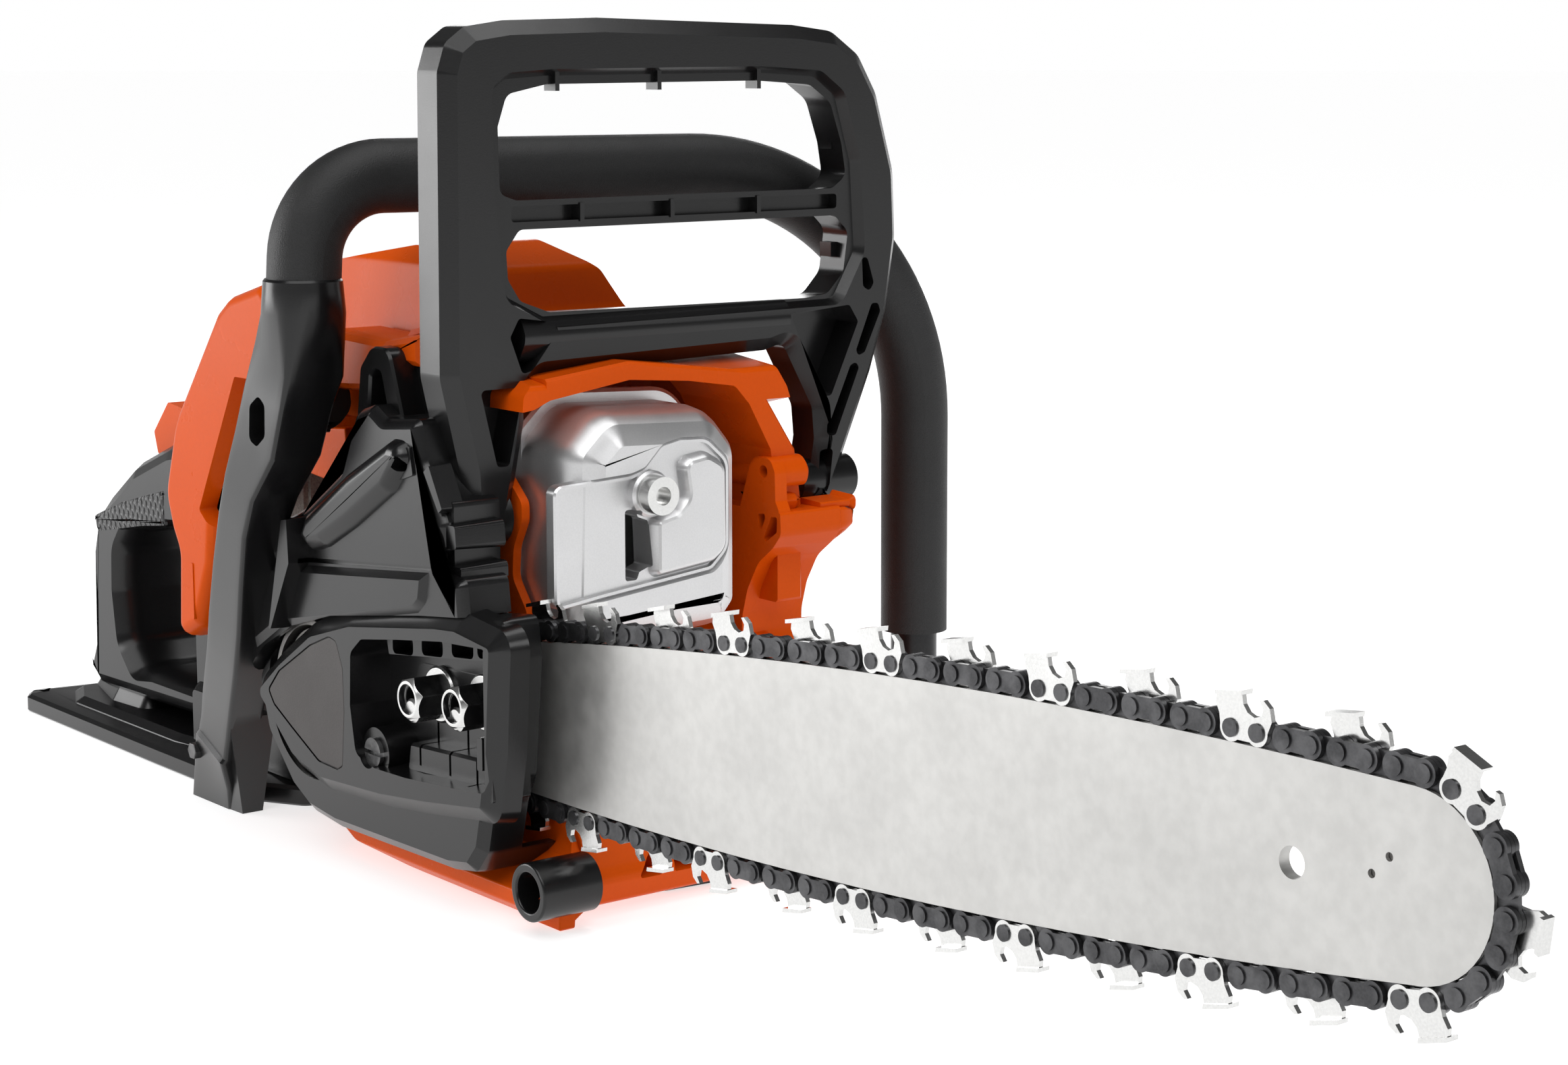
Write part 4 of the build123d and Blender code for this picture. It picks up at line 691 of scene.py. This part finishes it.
# ---------------------------------------------------------------- orange mouldings
def build_hood():
    """Top cover: a raised roof with a wedge-shaped front, a front deck and the arch over the muffler."""
    body = prism([(-54, 150), (-56, 180, 3), (-54, 198.5, 8), (5, 208.5, 8), (21, 200, 5), (24, 182, 8),
                  (57, 174, 10), (96, 169, 2), (96, 158), (60, 150), (40, 150)], "y", [(-4, 0), (116, 0)], 0,
                  8)
    roof = prism([(0, 140), (2, 166, 4), (10, 174, 6), (14, 203, 5), (23, 210, 8), (66, 210, 8), (84, 198, 8),
                  (108, 162, 6), (116, 140)], "x", [(-70, 0), (110, 0)], 0, 8)
    body = combined(body, [roof], "INTERSECT")
    arch = prism([(0, 142), (1, 166, 4), (8, 170.5, 5), (43, 174.5), (67, 171.5), (90, 168.5, 6),
                  (98, 161, 6), (112, 140), (115, 120), (115, 88), (99, 88), (99, 120)], "x",
                  [(58, 0), (95, 0), (96, 1.0)])
    inside = prism([(-6, 130), (-6, 160), (6, 161.5, 4), (12, 164, 4), (43, 168.5), (67, 166.5),
                    (86, 163.5, 4), (92, 157, 5), (101, 141), (104, 124), (104, 80), (-6, 80)], "x",
                    [(57, 0), (99, 0)])
    room = prism([(-50, 140), (-50, 194), (4, 203.5), (16, 196), (19, 178), (57, 170), (57, 140)], "y",
                 [(6, 0), (112, 0)])
    ceiling = prism([(6, 120), (6, 164), (15, 172), (19, 199), (26, 205), (65, 205), (81, 195), (104, 161),
                     (111, 120)], "x", [(-64, 0), (57, 0)])
    arch = cut(arch, brick(66, 97, -7, 10.8, 118, 178))
    body = fused(body, arch)
    body = cut(body, inside, combined(room, [ceiling], "INTERSECT"))
    boss = prism([(-8, 176, 3), (-2, 181, 4), (33, 180, 3), (57, 184, 2), (57, 172), (34, 172, 4),
                  (23, 162, 4), (-5, 160, 3)], "y", [(-12, 2.6), (-10, 0.8), (-7, 0), (8, 0)], 0, 8)
    web = prism([(-55, 126, 3), (-51, 137, 4), (-46, 142), (-21, 144), (-19, 129, 3), (-33, 124)], "y",
                [(5, 0), (12, 0)])
    step = prism([(20, 177, 0.6), (30, 177.5, 0.6), (36, 183, 0.6), (57, 187, 0.6), (57, 185.4, 0.6),
                  (37, 181.2, 0.6), (31, 175.6, 0.6), (20, 175.4, 0.6)], "y", [(-2, 0), (10, 0)])
    for part in (boss, step):
        body = fused(body, part)
    piece(body, "hood", "powerhead", "orange_plastic", ["top_cover"], bevel=1.1, segments=4, limit=18,
          smooth=40)
    piece(web, "hood_web", "powerhead", "orange_plastic", bevel=0.8)


def build_rear_cover():
    """Filter cover: a tall shield with soft edges, a notch in its side and a plain raised mark below."""
    outline = [(-54, 150), (-54, 186, 6), (-64, 192.5, 8), (-89, 186, 10), (-98, 180, 10), (-134, 137, 30),
               (-144, 108, 16), (-139, 94, 12), (-134, 86, 8), (-136.5, 50, 6), (-118, 59, 6), (-106, 84),
               (-104, 98), (-84, 120)]
    shell = prism(outline, "y", [(-4.2, 5.4), (-3.8, 3.8), (-2.6, 2.0), (-0.6, 0.7), (3, 0), (86, 0), (92, 2),
                                 (95, 5)],
                  0, 8)
    room = prism(outline, "y", [(3, 5), (90, 4)], 0, 8)
    notch = prism([(-83, 157, 1), (-113.5, 104.8, 1), (-104, 98), (-66, 98), (-66, 157)], "y",
                  [(-8, -0.8), (-3, 0), (5, 0)])
    front_gap = prism([(-62, 60), (-62, 146), (-50, 146), (-50, 60)], "y", [(8, 0), (88, 0)])
    shell = cut(shell, room, notch, front_gap, disc(-112, 40, 12.4, "y", 60, 100),
                disc(70, 108, 3.1, "x", -160, -100))
    mark = prism([(-122, 84, 1), (-119.4, 84, 1), (-119.4, 62, 1), (-122, 62, 1)], "y", [(-4.6, 0.3), (2, 0)])
    crease = prism([(-66, 189), (-86, 186), (-92, 172), (-72, 171)], "y", [(-3.2, 2), (6, 0)])
    for part in (mark, crease):
        shell = fused(shell, part)
    piece(shell, "rear_shield", "powerhead", "orange_plastic", ["rear_cover"], bevel=0.8, segments=3,
          limit=28, smooth=50)
    panel = prism([(-80, 158, 3), (-110, 136, 4), (-113.5, 120, 3), (-108, 108, 3), (-94, 98, 3),
                   (-66, 108, 3), (-66, 158, 3)], "y", [(3.4, 0.6), (4, 0), (7, 0)])
    piece(panel, "filter_side", "powerhead", "panel_plastic", bevel=0.4, finish=MAT["pale_plastic"])


def build_engine_case():
    """Crankcase and oil tank: the wall by the clutch, the fluted left column with its lugs, and the belly."""
    case = slab([(-44, 24), (-30, 14), (52, 14), (60, 30), (60, 84), (48, 96), (-30, 96), (-44, 84)], "y",
                5.4, 92, 4)
    tank = prism([(50, 8), (102, 5), (115, 7, 3), (120, 14, 3), (119, 26, 6), (104, 46, 16), (95, 62, 16),
                  (86, 76, 8), (50, 80)], "y", [(7, 1.5), (9, 0), (108, 0), (112, 2.5)])
    wall = prism([(56, 60), (56, 134), (80, 139, 4), (89, 131, 4), (89, 125, 5), (84, 116, 8), (83, 106, 6),
                  (91, 96, 6), (93, 80, 3), (88, 60)], "y", [(5.3, 0), (8.3, 0)])
    column = prism([(64, 60), (64, 120), (105, 120.5, 1), (105.4, 113, 4), (101, 108, 6), (93, 102, 12),
                    (87, 92, 14), (84, 82, 14), (84, 74, 12), (89, 66, 12), (98, 58, 8), (104, 46), (80, 40)],
                    "y",
                   [(98, 0), (120, 0), (124, 0.0), (124.6, 0.6)])
    lug = prism([(80, 112), (88, 134, 5), (92, 138, 4), (99.5, 138.4, 4), (102, 134, 4), (102.4, 124, 1.5),
                 (104, 121.5, 1.5), (105, 118), (96, 110)], "y", [(98, 0), (103, 0)], 0, 6)
    barrel = prism([(86, 134, 4), (90, 138.2, 5), (98, 138.4, 5), (101.5, 134, 5), (100.5, 128, 4),
                    (88, 128, 3)], "y",
                   [(99, 0), (113, 0), (114.5, 1.5)], 0, 8)
    tongue = prism([(88, 120.0), (88, 126), (99, 125.6, 1), (100.5, 123.6, 1), (99, 120.0)], "y",
                   [(99, 0), (109, 0), (112, 2.0)])
    heel = prism([(84, 113), (84, 119.5, 1), (103, 119.5, 1), (103, 122, 0.6), (92, 122.5, 0.6), (88, 113)],
                 "y", [(117, 0), (130, 0), (131.5, 1.4)])
    wing = prism([(70, 106), (70, 119.8), (104.8, 119.8, 1), (105, 113, 3), (100, 109, 4), (92, 104)], "y",
                 [(118, 0), (127, 0), (131, 1.6)])
    belly = prism([(-10, 40), (-12, 15, 3), (10, 6, 8), (40, 3, 20), (108, 1.6, 4), (118, 3, 3), (122, 12, 4),
                   (112, 32, 4), (100, 40)], "y", [(-12.5, 0), (80, 0)])
    profile = prism([(9, 40), (7, 33), (5.4, 26), (3, 20.5), (-2, 16), (-8, 12.4), (-12, 10.6, 1),
                     (-12.4, 6, 1.5), (-9, 2.6, 1.5), (0, 1.4), (60, 1.4), (80, 14), (80, 40)], "x",
                     [(-20, 0), (130, 0)])
    belly = combined(belly, [profile], "INTERSECT")
    heel_lug = prism([(-7, 0.2, 0.6), (-1, 0.2, 0.6), (-0.8, 2.6), (8.4, 8.8, 0.6), (6.4, 12.6, 0.6), (2, 14),
                      (-7, 9, 1)], "x", [(110, 0), (125.4, 0), (126, 0.5)])
    pad = slab([(54, 46), (106, 50), (106, 76), (54, 72)], "y", 2.2, 8, 4)
    bosses = [disc(106, 131, 5, "x", 70, 92), disc(107, 118, 4, "x", 70, 92)]
    house = case
    for part in [tank, wall, column, lug, barrel, tongue, wing, heel, belly, heel_lug, pad] + bosses:
        house = fused(house, part)
    cuts = [disc(*CRANK, 30, "y", 35, 65, 48), disc(*CRANK, 9, "y", 0, 100, 32),
            disc(*CRANK, 15, "y", 26, 35, 32), disc(*CRANK, 15, "y", 65, 74, 32),
            disc(*CRANK, 49, "y", 80, 100, 64), disc(*CRANK, 17, "y", 0, 14, 32),
            disc(80, 44, 13.2, "y", 96, 130, 32), brick(-60, 55, 92, 140, 0, 150),
            disc(95.8, 133.6, 2.2, "y", 90, 109, 20), disc(158, 17, 9.4, "y", -30, 3),
            disc(*CYLINDER, 23, "z", 70, 100, 64)]
    cuts.append(slab([(58, 18), (98, 18), (108, 28), (98, 44), (88, 66), (58, 70)], "y", 14, 100, 5))
    for stud in NUTS:
        cuts.append(disc(*stud, 4.0, "y", -2, 16, 32))
    for hollow in ([(92.4, 119), (96.6, 119.4), (96.9, 117.6), (93.8, 111.6)],
                   [(100, 118.8), (103.4, 119.0), (103.2, 113.6), (97, 109.4), (95.8, 111)]):
        cuts.append(prism(hollow, "y", [(90, 0), (105, 0.2)], 1.0))
    for hollow in ([(26, 10), (37, 10), (36, 19), (33, 19)], [(41, 10), (60, 10), (44, 20), (41, 20)],
                   [(64, 12), (82, 11), (82, 21), (79, 21)], [(87, 11), (102, 12), (90, 21), (87, 21)]):
        cuts.append(prism(hollow, "x", [(106, 0.8), (125, 0)], 1.4))
    for y in (22, 38, 70, 86):
        cuts.append(brick(20, 100, y, y + 10, -1, 5, 0.8))
    for cutter in cuts:
        house = cut(house, cutter)
    for first, last in ((-23, 8.2), (103.5, 150)):
        house = cut(house, disc(*PIVOT, PIN_HOLE_R, "y", first, last, 24))
    piece(house, "engine_case", "powerhead", "orange_plastic", ["engine_housing"], bevel=0.7, segments=3,
          limit=24, smooth=40)
    foot = prism([(82, 43, 2), (110, 45, 2), (112, 66, 2), (84, 66, 2)], "z",
                 [(0.0, 0.6), (0.6, 0), (5.6, 0)])
    piece(foot, "front_foot", "powerhead", "rubber", ["rubber_foot"], bevel=0.5)


# ---------------------------------------------------------------- rear handle
def build_rear_handle():
    """Rear handle: a D-shaped loop with soft flanks, the foot plate with its raised floor, the fuel tank."""
    outer = [(-92, 26), (-150, 15), (-236, 13, 6), (-246, 24, 5), (-240, 36, 10), (-238, 52), (-239, 73, 6),
             (-234, 88, 6), (-220, 99, 8), (-198, 113, 16), (-168, 124, 20), (-110, 136), (-100, 86)]
    loop = prism(outer, "y", [(9, 8.0), (11, 4.4), (15, 1.6), (21, 0), (44, 0), (50, 1.6), (54, 4.4),
                              (56, 8.0)], 0, 8)
    room = [(-150, 30), (-185, 30, 6), (-200, 28, 6), (-210, 38, 10), (-213, 58, 10), (-212, 74, 8),
            (-204, 83, 6), (-186, 87, 8), (-150, 90)]
    opening = prism(room, "y", [(0, -6.5), (9, -4.6), (13, -1.8), (20, 0), (45, 0), (52, -1.8), (57, -4.6),
                                (66, -6.5)], 0, 6)
    loop = cut(loop, opening)
    foot = prism([(-280, 0, 4), (-272, -5, 4), (-154, -6, 2), (-84, -6, 3), (-60, 8, 6), (-60, 84, 6),
                  (-110, 88, 8), (-270, 66, 12)], "z", [(0, 0.8), (0.8, 0), (6.0, 0), (7.2, 1.6), (8.4, 9)],
                  0, 6)
    deck = prism([(-262, 12, 6), (-240, 2, 6), (-152, 2, 8), (-110, 8, 6), (-110, 60, 6), (-262, 56, 8)], "z",
                 [(4, -2), (8.6, 0), (10.8, 3.5)], 0, 5)
    root = prism([(-262, 22, 8), (-225, 12, 6), (-200, 14, 6), (-200, 52, 6), (-262, 50, 8)], "z",
                 [(6, -4), (12, 0), (22, 6), (30, 10)], 0, 5)
    tank = prism([(-148, 5), (-50, 5), (-50, 34, 6), (-148, 34, 6)], "y",
                 [(6, 4), (9, 1), (12, 0), (82, 0), (88, 4)])
    upper = prism([(-142, 28), (-60, 28), (-60, 88), (-142, 88)], "y", [(14, 3), (17, 0), (83, 0), (86, 3)],
                  4)
    handle = loop
    for part in (foot, deck, root, tank, upper):
        handle = fused(handle, part)
    for cutter in (disc(-112, 40, 12.1, "y", 76, 100, 40),
                   slab([(-180, 70), (-146, 70), (-146, 114), (-172, 114)], "y", 26.4, 37.6),
                   slab([(-214, 104), (-176, 108), (-176, 140), (-214, 140)], "y", 25.4, 38.6)):
        handle = cut(handle, cutter)
    piece(handle, "rear_handle_shell", "powerhead", "black_plastic", ["rear_handle"], bevel=0.9, segments=3,
          limit=24, smooth=42)
    strip_outline = [(-231, 87, 1), (-205, 96), (-168, 105, 1), (-168, 90, 1), (-190, 87), (-228, 80, 1)]
    strip = prism(strip_outline, "y", [(8.4, 2.2), (9.0, 0.6), (10, 0), (16, -0.5)])
    piece(strip, "grip_strip_right", "powerhead", "black_plastic", bevel=0.3, finish=MAT["knurl"])
    other = prism(strip_outline, "y", [(49, -0.5), (55, 0), (56, 0.6), (56.6, 2.2)])
    piece(other, "grip_strip_left", "powerhead", "black_plastic", bevel=0.3, finish=MAT["knurl"])


build_guard()
build_clutch_cover()
build_nuts()
build_brake_housing()
build_strut()
build_muffler()
build_hood()
build_rear_cover()
build_engine_case()
build_rear_handle()

# ---------------------------------------------------------------- floor
floor_mesh = bmesh.new()
bmesh.ops.create_circle(floor_mesh, cap_ends=True, radius=30.0, segments=96)
floor_data = bpy.data.meshes.new("floor")
floor_mesh.to_mesh(floor_data)
floor_mesh.free()
floor = bpy.data.objects.new("floor", floor_data)
bpy.context.scene.collection.objects.link(floor)
paint = finish_of("floor_paint", (0.60, 0.60, 0.60), 0.7, speckle=0.01, grain=60, bump=0.0, dark=0.99,
                  specular=0.0)
paint.node_tree.nodes["Principled BSDF"].inputs["Emission Color"].default_value = (1.0, 1.0, 1.0, 1.0)
paint.node_tree.nodes["Principled BSDF"].inputs["Emission Strength"].default_value = 0.66
floor.data.materials.append(paint)
